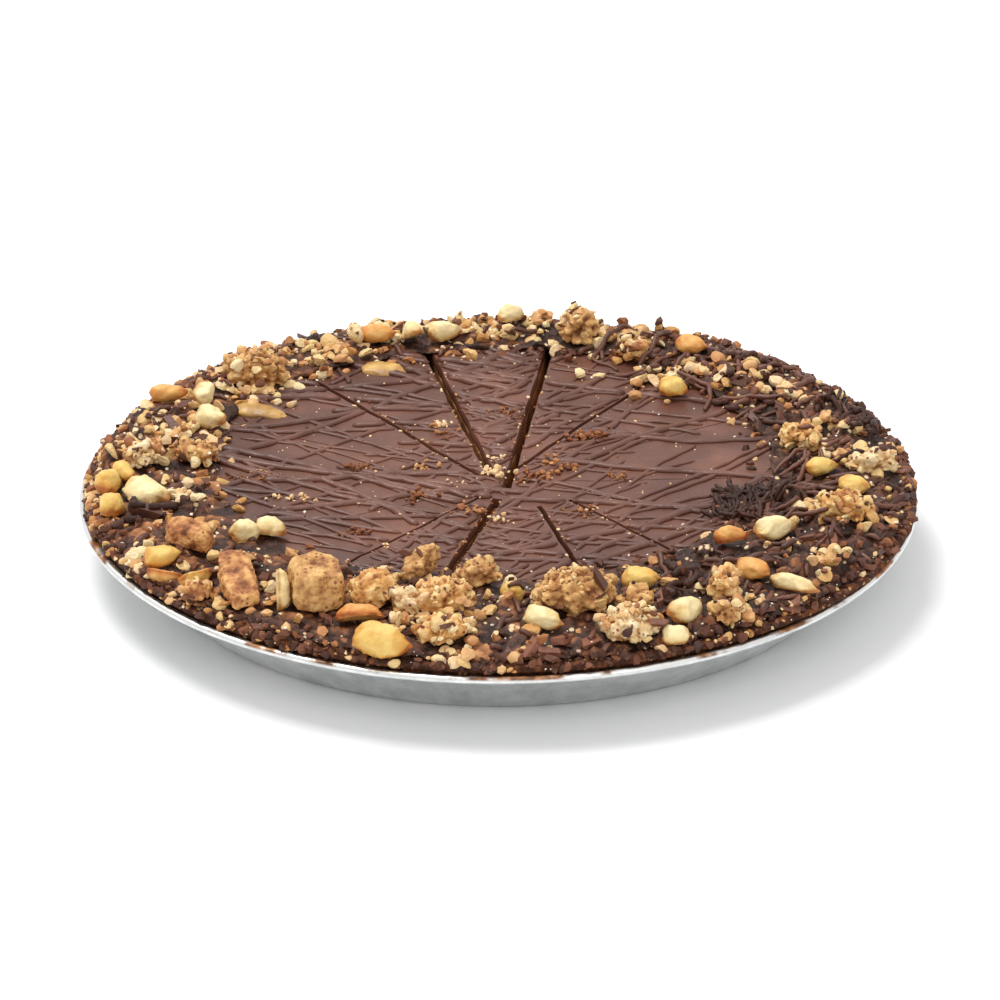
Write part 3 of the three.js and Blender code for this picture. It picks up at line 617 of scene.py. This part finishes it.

# ---- Peanuts ----
# Roasted peanuts without their skins, whole or split in two. A split one has a flat side with a
# shallow groove and the small germ at one end. They are darker along their edges and ends, partly
# toasted and partly painted shade.
# Each has its plan angle, radius, height, size, yaw, pitch, roll, whether it is split, and its colour.
PEANUTS = [
    (254, 121.5, 28, (16, 11, 5), -16, 0, 45, True, "gold"),
    (249, 111, 29.5, (14, 8, 4), 6, 0, -38, True, "roast"),
    (235, 111, 32, (14, 7, 3.6), 96, 72, 90, True, "cream"),
    (190, 107, 29, (15, 11, 4.5), -38, 0, 24, True, "cream"),
    (185, 118, 28.4, (11, 8, 5), 80, 0, 0, True, "gold"),
    (192, 118.5, 27.4, (11, 8, 5), 98, 0, 0, True, "gold"),
    (182, 113, 29, (10, 6, 3.6), -58, 0, 20, True, "gold"),
    (210, 87, 27.6, (9, 8, 4.6), 30, 0, 14, True, "cream"),
    (211, 79, 27, (10, 8, 5), -20, 0, -16, True, "cream"),
    (212, 117, 28.6, (11, 7, 4), 24, 0, 26, True, "gold"),
    (215, 119.5, 26.6, (11, 6, 3.6), -20, 0, 150, True, "roast"),
    (220, 116, 28.6, (11, 7, 3.8), 32, 0, 140, True, "gold"),
    (273, 86, 29, (8, 7, 6.4), 70, 0, 0, False, "gold"),
    (277, 106, 29.5, (13, 7.4, 4), -32, 0, 34, True, "cream"),
    (298, 88, 29.4, (11, 8.4, 6.6), -6, 0, 0, False, "gold"),
    (299, 112, 28.8, (12, 9, 4.2), 48, 0, 30, True, "cream"),
    (295, 121, 26.2, (9, 6.4, 4), 18, 0, 24, True, "cream"),
    (316, 104, 29.6, (11, 8, 6.4), -40, 0, 0, False, "roast"),
    (317, 118, 28.4, (15, 5, 3.4), -30, 0, 20, True, "cream"),
    (332, 93, 28.8, (13, 8, 4.4), 26, 0, 18, True, "cream"),
    (324, 85, 28.8, (10, 7.4, 4.4), 22, 0, -20, True, "roast"),
    (353, 108, 29.4, (10, 7, 6), -24, 0, 0, False, "gold"),
    (1, 98, 28.6, (9, 6.6, 5.6), 10, 0, 0, False, "gold"),
    (56, 109, 30, (10, 7, 6), -20, 0, 0, False, "roast"),
    (49, 83, 26.8, (9, 7, 4.4), 0, 0, 0, True, "gold"),
    (111, 106, 30, (11, 6.6, 6), 8, 0, 0, False, "roast"),
    (105, 103, 29.6, (9, 7, 4.4), -60, 30, 0, True, "cream"),
    (99.5, 104, 29, (10, 7.6, 4.6), 12, 0, 16, True, "cream"),
    (88, 113, 30, (9, 7, 4.6), 24, 0, 0, True, "cream"),
    (153, 115, 30.4, (11, 6.8, 6), 6, 0, 0, False, "roast"),
    (150, 106, 30, (9, 7, 4), 70, 34, 70, True, "cream"),
    (157, 96, 28.4, (10, 8, 4.4), -30, 0, 30, True, "cream"),
]
NUT_COLOURS = {
    "cream": ((176, 116, 58), (222, 190, 128), (240, 220, 168)),
    "gold": ((168, 96, 34), (210, 158, 74), (228, 192, 110)),
    "roast": ((156, 78, 30), (200, 128, 58), (222, 170, 98)),
}
nuts = {}
for colour_name, (low, mid, high) in NUT_COLOURS.items():
    nuts[colour_name], tree = material("peanut_" + colour_name, roughness=0.5, specular_ior_level=0.35)
    blotch = blotches(tree, 260.0, 0.2, 0.8, 6.0)
    # Each nut's own per-corner value darkens it along its edges and ends: partly roasting, partly painted
    # shade.
    shared = ranged(tree, maths(tree, "SUBTRACT", blotch, own(tree, "toast_and_shade")), -0.7, 0.9)
    colour = ramp(tree, shared, (0.15, low), (0.5, mid), (0.85, high))
    wire(tree, colour, 420.0, 0.7)


def kernel(bm, size, split, matrix, seed):
    """Adds a peanut to a shape: its length along X, and its flat side, if split, below. A few facets
    show where it has been knocked or pressed."""
    toast_and_shade = bm.verts.layers.float.get("toast_and_shade") or bm.verts.layers.float.new("toast_and_shade")
    length, width, height = size
    luck = random.Random(seed)
    lengthwise = Matrix.Rotation(pi / 2, 4, "Y")
    made = bmesh.ops.create_uvsphere(bm, u_segments=32, v_segments=24, radius=1.0, matrix=lengthwise)["verts"]
    flats = [Vector((luck.gauss(0, 0.7), luck.gauss(0, 1), luck.gauss(0, 1))).normalized() for _ in range(4)]
    for point in made:
        knocked = 0.0
        for flat in flats:
            over = max(0.0, point.co.dot(flat) - (0.83 if split else 0.88))
            point.co -= flat * over
            knocked = max(knocked, over)
        x, y, z = point.co
        rim = exp(-((z / 0.2) ** 2)) if split else 0.0
        # Darker towards the ends and along the edge of a split half's flat side, where it rests: partly
        # roasting and partly painted shade. Knocked facets stay paler.
        point[toast_and_shade] = 0.6 * max(0.0, abs(x) - 0.5) / 0.5 + 0.8 * rim - 1.6 * knocked
        taper = 1 - 0.16 * x
        pinch = 1 - 0.07 * exp(-((x / 0.25) ** 2))
        if split and z < 0:
            groove = 0.13 * exp(-((y / 0.22) ** 2)) * max(0.0, 1 - abs(x))
            z = max(z, -0.16) + groove
        tip = 0.09 if x > 0.97 else 0.0
        point.co = Vector(((x + tip) * length / 2, y * taper * pinch * width / 2,
                           z * taper * pinch * (height if split else height / 2)))
        point.co *= 1 + 0.15 * noise.noise(point.co / 3.5 + Vector((seed, 0, 0)))
        point.co *= 1 + 0.08 * noise.noise(point.co / 1.3 + Vector((0, seed, 0)))
        point.co *= MM
    bmesh.ops.transform(bm, matrix=matrix, verts=made)


def around(angle, radius):
    """The x and y of a place, from its plan angle in degrees and its radius."""
    turn = radians(angle)
    return radius * cos(turn), radius * sin(turn)


def seat(angle, radius, height, yaw, pitch=0, roll=0):
    """Where a piece lies: its plan angle, radius and height in mm, and how it is turned."""
    place = Matrix.Translation(Vector((*around(angle, radius), height)) * MM)
    turn = Matrix.Rotation(radians(yaw), 4, "Z") @ Matrix.Rotation(radians(-pitch), 4, "Y")
    return place @ turn @ Matrix.Rotation(radians(roll), 4, "X")


peanuts = []
for i, (angle, radius, height, size, yaw, pitch, roll, split, colour_name) in enumerate(PEANUTS, 1):
    nut = bmesh.new()
    kernel(nut, size, split, seat(angle, radius, height, yaw, pitch, roll), i)
    bmesh.ops.recalc_face_normals(nut, faces=nut.faces)
    name = f"peanut_{i:02d}"
    peanuts.append(piece(name + "_kernel", nut, nuts[colour_name], "peanut", name))

# Three more nuts have sunk into the sheet while it was soft, so that only their backs show.
sunk, tree = material("sunk_peanut", roughness=0.4)
olive = ramp(tree, blotches(tree, 160.0, 0.3, 0.7), (0.0, (140, 98, 50)), (1.0, (206, 164, 92)))
wire(tree, olive, 400.0, 0.3)
nut = bmesh.new()
SUNK = [(145.5, 90, (17, 9, 4.6), -22), (113.5, 90.5, (14, 10, 4.4), -8), (181, 88, (15, 7, 4), -4)]
for i, (angle, radius, size, yaw) in enumerate(SUNK):
    kernel(nut, size, False, seat(angle, radius, CHOCOLATE_TOP, yaw), i)
bmesh.ops.recalc_face_normals(nut, faces=nut.faces)
sunk_nuts = piece("sunk_peanuts", nut, sunk, "peanut")

# ---- Small pieces in the heap ----
# Chopped peanuts, broken candy, chocolate shards, biscuit crumbs and pale sugar specks, strewn over
# the heap, the finest last. Dark ones lie thickest at the viewer's right, and nuts at the left.
HIGH = 32.5
SIZE_ON_HIGH = 0.55
HEAP_REACH = 124
OUTSIDE_FROM = 108
CLEAR_OF_NUTS = 0.3
BATCH = 4000


def surface_of(*pieces):
    """What lies there already, for setting things down on it."""
    bm = bmesh.new()
    for each in pieces:
        bm.from_mesh(each.data)
    return BVHTree.FromBMesh(bm)


def border_inner(turn):
    """The heap's inner edge on the chocolate, in mm."""
    return 83 + 13 * cos(turn - radians(100)) + 2.4 * lumps(turn, 1)


def border_outer(turn):
    """The heap's outer edge, over the crust, in mm."""
    return 122.9 + overhang(turn) - OVERHANG_LEAST + 0.4 * lumps(turn, 4)


def nutty_side(turn):
    """From 0 to 1: how much of the heap is nuts and candy at this angle."""
    return 0.5 + 0.5 * cos(turn - radians(170))


def drop(x, y):
    """Where something let go over the ground comes to lie, and which way the surface faces there."""
    return ground.ray_cast(Vector((x, y, 60)) * MM, Vector((0, 0, -1)))[:2]


def on_a_nut(place):
    """Whether a place is on one of the smooth pieces, which stay bare."""
    return smooth_nuts.find_nearest(place)[3] < CLEAR_OF_NUTS * MM


def lay(lot, shape, size, luck, spot, normal, sink=0.2, shade=None):
    """Adds one bit to a lot. It lies at a slant, a little sunk in, and is smaller in a high place. A lot
    is made in batches, since adding to a large shape is slow."""
    if not lot or len(lot[-1].verts) > BATCH:
        lot.append(bmesh.new())
        lot[-1].verts.layers.float.new("shade")
    if spot.z > HIGH * MM:
        size *= SIZE_ON_HIGH
    lean = Euler((luck.uniform(-0.6, 0.6), luck.uniform(-0.6, 0.6), luck.uniform(0, tau)), "ZYX")
    place = Matrix.Translation(spot + normal * (0.3 - sink) * size * MM) @ lean.to_matrix().to_4x4()
    value = luck.random() if shade is None else min(1.0, max(0.0, shade))
    layer = lot[-1].verts.layers.float["shade"]
    for point in shape(lot[-1], size, luck, place):
        point[layer] = value


def finished_bits(name, lot, finish, slot):
    """Makes one finished piece of a lot."""
    whole = bmesh.new()
    whole.verts.layers.float.new("shade")
    for batch in lot:
        bmesh.ops.recalc_face_normals(batch, faces=batch.faces)
        mesh = bpy.data.meshes.new("blank")
        batch.to_mesh(mesh)
        batch.free()
        whole.from_mesh(mesh)
        bpy.data.meshes.remove(mesh)
    return piece(name, whole, finish, slot, crease=38)


def strew(lot, shape, count, smallest, largest, seed, likely, clump=1.0, spill=2.0):
    """Strews bits over the heap, in clumps. A few spill inwards over the chocolate."""
    luck = random.Random(seed)
    laid = 0
    while laid < count:
        turn = luck.uniform(-pi, pi)
        inner, outer = border_inner(turn) - spill * 4 * luck.random() ** 2, border_outer(turn) + 0.4
        radius = sqrt(luck.uniform(inner ** 2, outer ** 2))
        x, y = radius * cos(turn), radius * sin(turn)
        thick = 0.5 + clump * noise.noise(Vector((x / 11, y / 11, seed)))
        if luck.random() > likely(turn) * thick * 1.6 or in_a_cut(x, y, 0.8, through=True):
            continue
        hit, normal = drop(x, y)
        if hit is None or normal.z < 0.15 or on_a_nut(hit):
            continue
        lay(lot, shape, smallest + (largest - smallest) * luck.random() ** 1.7, luck, hit, normal)
        laid += 1


def crust_over(lot, shape, count, smallest, largest, seed, side, likely=lambda turn: 1.0, lowest=20.8):
    """Presses bits into the heap's outer side, all round, from a height in mm up over the crust's edge."""
    luck = random.Random(seed)
    laid = 0
    while laid < count:
        turn = luck.uniform(-pi, pi)
        out = Vector((cos(turn), sin(turn), 0))
        slope = out * 20 + Vector((0, 0, 14))
        start = (out * 123 + Vector((0, 0, luck.uniform(lowest, 27))) + slope) * MM
        hit, normal = side.ray_cast(start, -slope.normalized())[:2]
        if luck.random() > likely(turn) or hit is None or hit.xy.length < OUTSIDE_FROM * MM:
            continue
        if in_a_cut(*(hit.xy / MM), 1, through=True) or on_a_nut(hit):
            continue
        lay(lot, shape, smallest + (largest - smallest) * luck.random() ** 2, luck, hit, normal, sink=0.28)
        laid += 1


def drawn_out(size, luck, wide, high):
    """Scales a shape to its size in mm, with its width and height as shares of that."""
    return Matrix.Diagonal((size * MM, luck.uniform(*wide) * size * MM, luck.uniform(*high) * size * MM, 1))


def chopped_shape(bm, size, luck, place):
    """A piece of chopped nut: a round side, and a few flat broken ones."""
    stretch = drawn_out(size, luck, (0.6, 0.85), (0.5, 0.75))
    made = bmesh.ops.create_icosphere(bm, subdivisions=2, radius=0.5)["verts"]
    for _ in range(4):
        flat = Vector((luck.gauss(0, 1), luck.gauss(0, 1), luck.gauss(0, 1))).normalized()
        depth = luck.uniform(0.16, 0.34)
        for point in made:
            point.co -= flat * max(0.0, point.co.dot(flat) - depth)
    bmesh.ops.transform(bm, matrix=place @ stretch, verts=made)
    return made


def crumb_shape(bm, size, luck, place):
    """A rough crumb."""
    stretch = drawn_out(size, luck, (0.6, 0.95), (0.45, 0.8))
    made = bmesh.ops.create_icosphere(bm, subdivisions=1, radius=0.5, matrix=place @ stretch)["verts"]
    middle = place.translation
    for point in made:
        point.co = middle + (point.co - middle) * luck.uniform(0.7, 1.3)
    return made


def shard_shape(bm, size, luck, place):
    """A splinter of chocolate."""
    stretch = drawn_out(size, luck, (0.3, 0.55), (0.2, 0.36))
    made = bmesh.ops.create_cube(bm, size=1.0)["verts"]
    slant = luck.uniform(-0.5, 0.5)
    for point in made:
        point.co.x += slant * point.co.y + luck.uniform(-0.16, 0.16)
        point.co.y *= luck.uniform(0.5, 1.1)
        point.co.z *= luck.uniform(0.6, 1.1)
    bmesh.ops.transform(bm, matrix=place @ stretch, verts=made)
    return made


def bits_finish(name, roughness, *colours, bump=0.4):
    """A finish for many small bits, each with its own shade out of a row of colours."""
    made, tree = material(name, roughness=roughness, specular_ior_level=0.3)
    shade = maths(tree, "MULTIPLY", own(tree, "shade"), 0.75)
    blotch = maths(tree, "MULTIPLY", blotches(tree, 400.0, 0.2, 0.8), 0.25)
    stops = [(i / (len(colours) - 1), colour) for i, colour in enumerate(colours)]
    colour = ramp(tree, maths(tree, "ADD", shade, blotch), *stops)
    wire(tree, colour, 900.0, bump)
    return made


chopped_nut = bits_finish("chopped_nut", 0.5, (158, 92, 44), (200, 146, 82), (226, 192, 132), (240, 220, 176),
                          bump=0.8)
candy_crumb = bits_finish("candy_crumb", 0.6, (92, 50, 28), (144, 86, 48), (190, 134, 82), (220, 178, 124),
                          (240, 216, 178))
shard = bits_finish("chocolate_shard", 0.42, (62, 38, 28), (90, 56, 42), (116, 72, 54), (142, 90, 68),
                    bump=0.2)
dark_crumb = bits_finish("dark_crumb", 0.6, (44, 25, 17), (76, 44, 31), (102, 60, 41), (136, 84, 56))
sugar = bits_finish("pale_speck", 0.5, (224, 196, 160), (240, 226, 204), (248, 242, 230))


def set_down(lot, shape, seats, swell=1.0):
    """Lays single bits, each at its plan angle, radius, size and shade."""
    for angle, radius, size, shade in seats:
        hit, normal = drop(*around(angle, radius))
        lay(lot, shape, swell * size, luck, hit, normal, sink=0.1, shade=shade)


# Nuts that stand out, each with its plan angle, radius, size and shade, and then the rest.
NUT_SEATS = [
    (160, 116, 6, 0.5), (164, 116, 4, 1), (155, 110, 6, 0.7), (177, 103, 5, 0.9), (160, 100, 5, 0.8),
    (164, 103, 5, 0.4), (139, 92, 4, 0.9), (215, 113, 5, 0.8), (303, 93, 6, 0.5), (287, 102, 4, 0.5),
    (323, 118, 5, 0.9), (328, 118, 4, 0.9), (345, 94, 5, 0.9), (9, 103, 6, 0.8), (45, 111, 7, 0.8),
    (35, 110, 5, 0.9), (51, 97, 5.5, 1), (72, 82, 5, 1), (68, 84, 4, 0.9), (59, 86, 6, 0.7),
    (115, 100, 5, 0.8), (125, 96, 4.5, 1), (114, 106, 8, 0.9), (272, 78, 5, 1), (276, 99, 3.4, 0.4),
    (240, 116, 4, 0.3), (92, 106, 7, 0.8), (84, 106, 8, 0.9), (77, 109, 7, 0.7), (72, 103, 6, 0.95),
    (95, 112, 6, 0.9), (62, 101, 7, 0.8), (119, 110, 7, 0.6), (106, 111, 6, 0.8), (98, 108, 7, 0.9),
    (88, 105, 6, 0.7), (80, 104, 6.5, 0.9), (67, 107, 7, 0.8), (102, 116, 7, 0.8), (74, 116, 7, 0.9),
    (113, 116, 6.5, 0.7), (134, 104, 7, 0.6), (129, 110, 6, 0.5), (220, 103, 4.5, 0.9),
]
clean = [chunks[list(CHUNKS).index(name)] for name in FLAT_SIDED]
smooth_nuts = surface_of(*peanuts, *clean, sunk_nuts)
below = [heap, *chunks, *peanuts, sheet, crust_piece, filling_node]
ground = surface_of(*below)
luck = random.Random(20)
nut_bits, candy_bits = [], []
set_down(nut_bits, chopped_shape, NUT_SEATS, 1.15)
for spot, normal in stuck_in:
    lay(nut_bits, chopped_shape, luck.uniform(2.2, 5), luck, spot, normal, sink=0.3)

# Crumbly heaps of nuts and candy, each with its plan angle, radius, spread, number of bits and shade.
RUBBLE = [
    (264, 121, 10, 30, 0.8), (262, 96, 12, 22, 0.6), (283, 93, 13, 26, 0.6), (191, 99, 8, 20, 1.0),
    (208, 123, 11, 32, 0.9), (344, 107, 13, 34, 0.5), (345, 97, 8, 12, 0.8), (162, 104, 13, 42, 0.6),
    (139, 99, 13, 36, 0.8), (57, 88, 15, 30, 0.9), (44, 107, 9, 14, 0.9), (174, 110, 13, 34, 0.6),
    (33, 110, 13, 26, 0.6), (100, 106, 12, 26, 0.9), (78, 108, 11, 26, 0.9), (120, 104, 13, 30, 0.8),
    (226, 114, 12, 22, 0.5), (290, 114, 12, 22, 0.8), (308, 112, 12, 24, 0.6), (8, 104, 11, 16, 0.6),
    (91, 113, 10, 22, 0.9), (66, 108, 12, 26, 0.8), (50, 100, 13, 26, 0.7), (110, 113, 10, 22, 0.9),
    (18, 106, 12, 18, 0.6), (328, 114, 12, 20, 0.7), (150, 113, 12, 26, 0.7), (185, 121, 10, 20, 0.8),
    (262, 104, 10, 26, 0.8), (256, 104, 8, 14, 0.6), (96, 115, 12, 26, 0.8), (84, 112, 12, 30, 0.8),
    (70, 114, 12, 24, 0.7), (128, 112, 12, 24, 0.6),
]
for angle, radius, spread, count, shade in RUBBLE:
    middle = Vector(around(angle, radius))
    for _ in range(count):
        x, y = middle.x + luck.gauss(0, 0.42) * spread, middle.y + luck.gauss(0, 0.42) * spread
        hit, normal = drop(x, y)
        if hit is None or hypot(x, y) > HEAP_REACH or in_a_cut(x, y, 1, through=True) or on_a_nut(hit):
            continue
        into, least = (nut_bits, 0.35) if luck.random() < 0.5 else (candy_bits, 0)
        lay(into, chopped_shape, luck.uniform(2.3, 6.6), luck, hit, normal, sink=0.1,
            shade=max(least, shade + luck.gauss(0, 0.22)))
strew(nut_bits, chopped_shape, 230, 2.8, 7, 21, lambda turn: 0.45 + 0.55 * nutty_side(turn))
crust_over(nut_bits, chopped_shape, 130, 2, 5, 31, ground, lambda turn: 0.1 + 0.9 * nutty_side(turn) ** 2)
nut_bits = finished_bits("chopped_nuts", nut_bits, chopped_nut, "peanut")

# Larger shards and bars of chocolate, each with its plan angle, radius, length and shade.
SHARD_SEATS = [
    (274.7, 119, 8, 0.95), (279.3, 115.5, 7, 1.0), (282.6, 118.5, 7, 0.95), (196.7, 110.6, 12, 0.1),
    (171.7, 102.6, 10, 0.1), (287.3, 99.3, 12, 0.2), (277, 121, 6, 0.8), (262, 113, 6, 0.4),
    (240, 122, 7, 0.5),
]
ground = surface_of(*below, nut_bits)
shards = []
set_down(shards, shard_shape, SHARD_SEATS)
strew(shards, shard_shape, 190, 2.5, 6.5, 22, lambda turn: 1 - 0.55 * nutty_side(turn))
crust_over(shards, shard_shape, 90, 3, 6, 32, surface_of(heap, *chunks, *peanuts))
shards = finished_bits("chocolate_shards", shards, shard, "chocolate")

ground = surface_of(*below, nut_bits, shards)
outside = surface_of(heap, *chunks, *peanuts, crust_piece)
strew(candy_bits, crumb_shape, 480, 1.6, 5, 23, lambda turn: 0.4 + 0.6 * nutty_side(turn), clump=1.6)
crust_over(candy_bits, crumb_shape, 240, 1.6, 4.4, 33, outside,
           lambda turn: 0.1 + 0.9 * nutty_side(turn) ** 2)
finished_bits("candy_crumbs", candy_bits, candy_crumb, "candy_chunk")
crumbs = []
strew(crumbs, crumb_shape, 620, 1.4, 4.6, 24, lambda turn: 1 - 0.5 * nutty_side(turn))
crust_over(crumbs, crumb_shape, 1300, 1.3, 4.4, 34, outside)
crust_over(crumbs, crumb_shape, 130, 0.7, 1.5, 35, surface_of(crust_piece, pan), lowest=19)
finished_bits("dark_crumbs", crumbs, dark_crumb, "crust")
crumbs = []
strew(crumbs, crumb_shape, 420, 0.6, 1.5, 25, lambda turn: 1.0, clump=1.6, spill=7)
crust_over(crumbs, crumb_shape, 150, 0.6, 1.3, 36, outside)
finished_bits("pale_specks", crumbs, sugar, "peanut")

# ---- Crumbs on the chocolate ----
# Crumbs that the knife and the hand have left on the open chocolate: pale nut crumbs, orange brown
# toffee ones, and white sugar specks all over it and along the cuts.
# Each cluster has its plan angle, radius, length, width, how many crumbs it has, and its shade.
CLUSTERS = [
    (114, 43, 6, 5, 14, 0.95), (92, 15, 5, 4, 10, 1.0), (116, 6, 6, 4, 12, 1.0), (270, 28, 6.5, 5, 9, 0.9),
    (193, 12, 6, 3, 8, 1.0), (193, 60, 6, 4, 10, 0.85), (113, 40, 9, 7, 10, 0.2), (157, 25, 8, 6, 14, 0.5),
    (17, 9, 9, 7, 26, 0.12), (318, 33, 10, 5, 26, 0.16), (48, 42, 13, 8, 40, 0.1), (87, 50, 6, 5, 16, 0.18),
    (208, 27, 9, 7, 22, 0.06), (169, 43, 8, 7, 18, 0.04), (5, 36, 7, 5, 16, 0.16),
    (222, 56, 11, 6, 22, 0.0), (250, 24, 8, 8, 12, 0.3), (30, 20, 12, 8, 24, 0.3),
    (190, 66, 12, 5, 12, 0.9), (80, 5, 8, 6, 22, 1.0), (178.7, 76, 26, 3.4, 30, 0.26),
    (176, 72, 10, 2, 10, 0.6),
]
OPEN_CRUMBS = 260
OPEN_REACH = 96
ground = surface_of(sheet, drizzle, filling_node)
luck = random.Random(41)
left_over = []
for angle, radius, length, width, count, shade in CLUSTERS:
    middle = Vector(around(angle, radius))
    for i in range(count):
        x, y = middle.x + luck.gauss(0, 0.3) * length, middle.y + luck.gauss(0, 0.3) * width
        hit, normal = drop(x, y)
        size = max(0.8, (0.5 if shade > 0.8 else 0.4) * width * (1 - 0.75 * i / count))
        lay(left_over, chopped_shape, size, luck, hit, normal, sink=0, shade=shade + luck.gauss(0, 0.1))
for _ in range(OPEN_CRUMBS):
    turn, radius = luck.uniform(0, tau), OPEN_REACH * sqrt(luck.random())
    hit, normal = drop(radius * cos(turn), radius * sin(turn))
    lay(left_over, crumb_shape, luck.choice((0.5, 0.6, 0.8, 1.1)), luck, hit, normal,
        shade=luck.choice((0.1, 0.9, 1, 1)))
# More lie along the open cuts, and in front the knife has drawn up filling as well.
MUDDY_CUT = 254
for angle, aside, start, end, width in CUTS:
    turn = radians(angle)
    muddy = angle == MUDDY_CUT
    for _ in range(0 if width < CLOSED_UP else 90 if muddy else 26):
        along, off = luck.uniform(start, start + 0.75 * (end - start)), luck.random() * (0.6 if muddy else 1)
        across = aside + luck.choice((-1, 1)) * (width / 2 + off)
        x = along * cos(turn) - across * sin(turn)
        y = along * sin(turn) + across * cos(turn)
        hit, normal = drop(x, y)
        lay(left_over, crumb_shape, luck.choice((0.6, 0.8, 1.3)), luck, hit, normal,
            shade=luck.choice((0.2, 0.35, 0.5) if muddy else (0.2, 0.5, 1, 1)))
finished_bits("crumbs_on_chocolate", left_over, candy_crumb, "candy_chunk")

# ---- Strands over the heap ----
# The drizzle runs on over the toppings, where it hangs between them and has snapped into short curved
# sticks. At the viewer's right it lies so thick that it hides most of what is under it.
# Each stretch has its plan angles, its radii, how many strands it has, their lengths, their headings, how
# thick they are, how high they are piled in mm, and how many of them also lie over nuts and candy. Some are
# of darker chocolate.
PALER = [
    (-28, 72, 80, 124, 110, 6, 40, (52, -13), 1, 1, 0.4), (72, 165, 92, 122, 40, 5, 20, (46, -30), 1, 0, 0),
    (165, 262, 84, 122, 26, 5, 16, (-38, 46, 90), 1, 0, 0),
    (262, 332, 84, 122, 40, 5, 18, (52, -13, 20), 1.1, 0, 0.15),
]
DARKER = [
    (-24, -7, 71, 86, 170, 3, 9, (20, 70, 110, 150), 0.85, 3.4, 1),
    (14, 28, 112, 122, 34, 5, 12, (0, 60, 110), 1.1, 2.4, 1),
    (42, 54, 104, 114, 14, 7, 16, (0, 60), 1.4, 2, 1),
    (-26, 60, 84, 122, 30, 5, 14, (52, -13), 1.3, 0, 0.5),
    (296, 320, 84, 104, 16, 6, 16, (30, 70), 1.5, 1, 0.3),
    (192, 200, 106, 118, 8, 6, 14, (-40, 20), 1.6, 0, 0),
]
STRAND_STEP = 1.2
STEEPEST = 1.8
STRAND_THICK = 1.5
CLEAR_OF_LUMPS = 0.5
SETTLING_ROUNDS = 14


def draped(x, y, heading, length, thick, pile, luck, over):
    """A strand laid over what is there, from a place in mm. It spans the gaps between high spots, and its
    far end may lie higher, on others of a pile."""
    spots = []
    for _ in range(int(length / STRAND_STEP)):
        heading += luck.gauss(0, 0.16)
        x += STRAND_STEP * cos(heading)
        y += STRAND_STEP * sin(heading)
        hit, _ = drop(x, y)
        if hit is None or hit.z > HIGH * MM or hypot(x, y) > HEAP_REACH:
            break
        if in_a_cut(x, y, 0.4, through=True):
            break
        if not over and lumps_and_nuts.find_nearest(hit)[3] < CLEAR_OF_LUMPS * MM:
            break
        if spots and abs(hit.z / MM - spots[-1].z) > STEEPEST + pile:
            break
        spots.append(Vector((x, y, hit.z / MM + pile * len(spots) * STRAND_STEP / length)))
    lowest = [spot.z for spot in spots]
    for _ in range(SETTLING_ROUNDS):
        for i in range(1, len(spots) - 1):
            spots[i].z = max(lowest[i], (spots[i - 1].z + spots[i + 1].z) / 2 - 0.03)
    shares = [thick * luck.uniform(0.75, 1.25) for _ in spots]
    return [(spot + Vector((0, 0, 0.3 * share)), share) for spot, share in zip(spots, shares)]


ground = surface_of(*below, nut_bits, shards)
lumps_and_nuts = surface_of(*chunks, *peanuts, sunk_nuts)
luck = random.Random(51)
for name, stretches, gloss, tones in (
        ("strands", PALER, 0.4, ((118, 73, 56), (96, 57, 42), (68, 40, 30))),
        ("dark_strands", DARKER, 0.2, ((86, 52, 40), (64, 38, 29), (44, 26, 20)))):
    runs = []
    for first, last, inner, outer, count, shortest, longest, headings, thick, pile, over in stretches:
        laid = 0
        while laid < count:
            turn, radius = radians(luck.uniform(first, last)), luck.uniform(inner, outer)
            heading = radians(luck.choice(headings) + luck.gauss(0, 22))
            length = shortest + (longest - shortest) * luck.random() ** 2
            run = draped(radius * cos(turn), radius * sin(turn), heading, length,
                         thick * luck.uniform(0.7, 1.3), luck.uniform(0, pile), luck, luck.random() < over)
            if len(run) > SHORTEST_RUN:
                run[0], run[-1] = (run[0][0], run[0][1] * 0.7), (run[-1][0], run[-1][1] * 0.7)
                runs.append(run)
                laid += 1
    strands(name, runs, chocolate_finish(name, *tones, gloss), STRAND_THICK)

# ---- Floor, light and camera ----
# A plain pale floor, a white surround, soft light from a wide panel above and behind at the left and a
# weaker one in front at the right, and the camera at the photograph's angle, 25 degrees above the table.
floor = bmesh.new()
bmesh.ops.create_grid(floor, x_segments=1, y_segments=1, size=6.0)
floor_mesh = bpy.data.meshes.new("floor")
floor.to_mesh(floor_mesh)
floor.free()
pale_floor, tree = material("pale_floor", roughness=0.9, base_color=(0.86, 0.86, 0.86, 1))
floor_mesh.materials.append(pale_floor)
floor_object = placed("floor", floor_mesh)

world = bpy.data.worlds.new("studio")
world.use_nodes = True
world.node_tree.nodes["Background"].inputs["Color"].default_value = (1, 1, 1, 1)
world.node_tree.nodes["Background"].inputs["Strength"].default_value = 0.88
bpy.context.scene.world = world


def panel(name, place, width, power):
    """A square light panel that faces the pie."""
    light = set_up(bpy.data.lights.new(name, "AREA"), energy=power, size=width)
    facing = Vector(place).to_track_quat("Z", "Y").to_matrix().to_4x4()
    placed(name, light).matrix_world = Matrix.Translation(place) @ facing


panel("key_panel", (-0.6, 0.5, 1.85), 0.9, 28)
panel("front_panel", (0.5, -1.5, 1.4), 1.2, 7)

camera_data = set_up(bpy.data.cameras.new("camera"), sensor_width=36, lens=237.3, shift_x=0.002,
                     shift_y=-0.0087, clip_end=20)
camera = set_up(placed("camera", camera_data), location=(0, -1.8132, 0.865),
                rotation_euler=(radians(65.04), 0, 0))
bpy.context.scene.camera = camera
bpy.context.scene.view_settings.view_transform = "Standard"
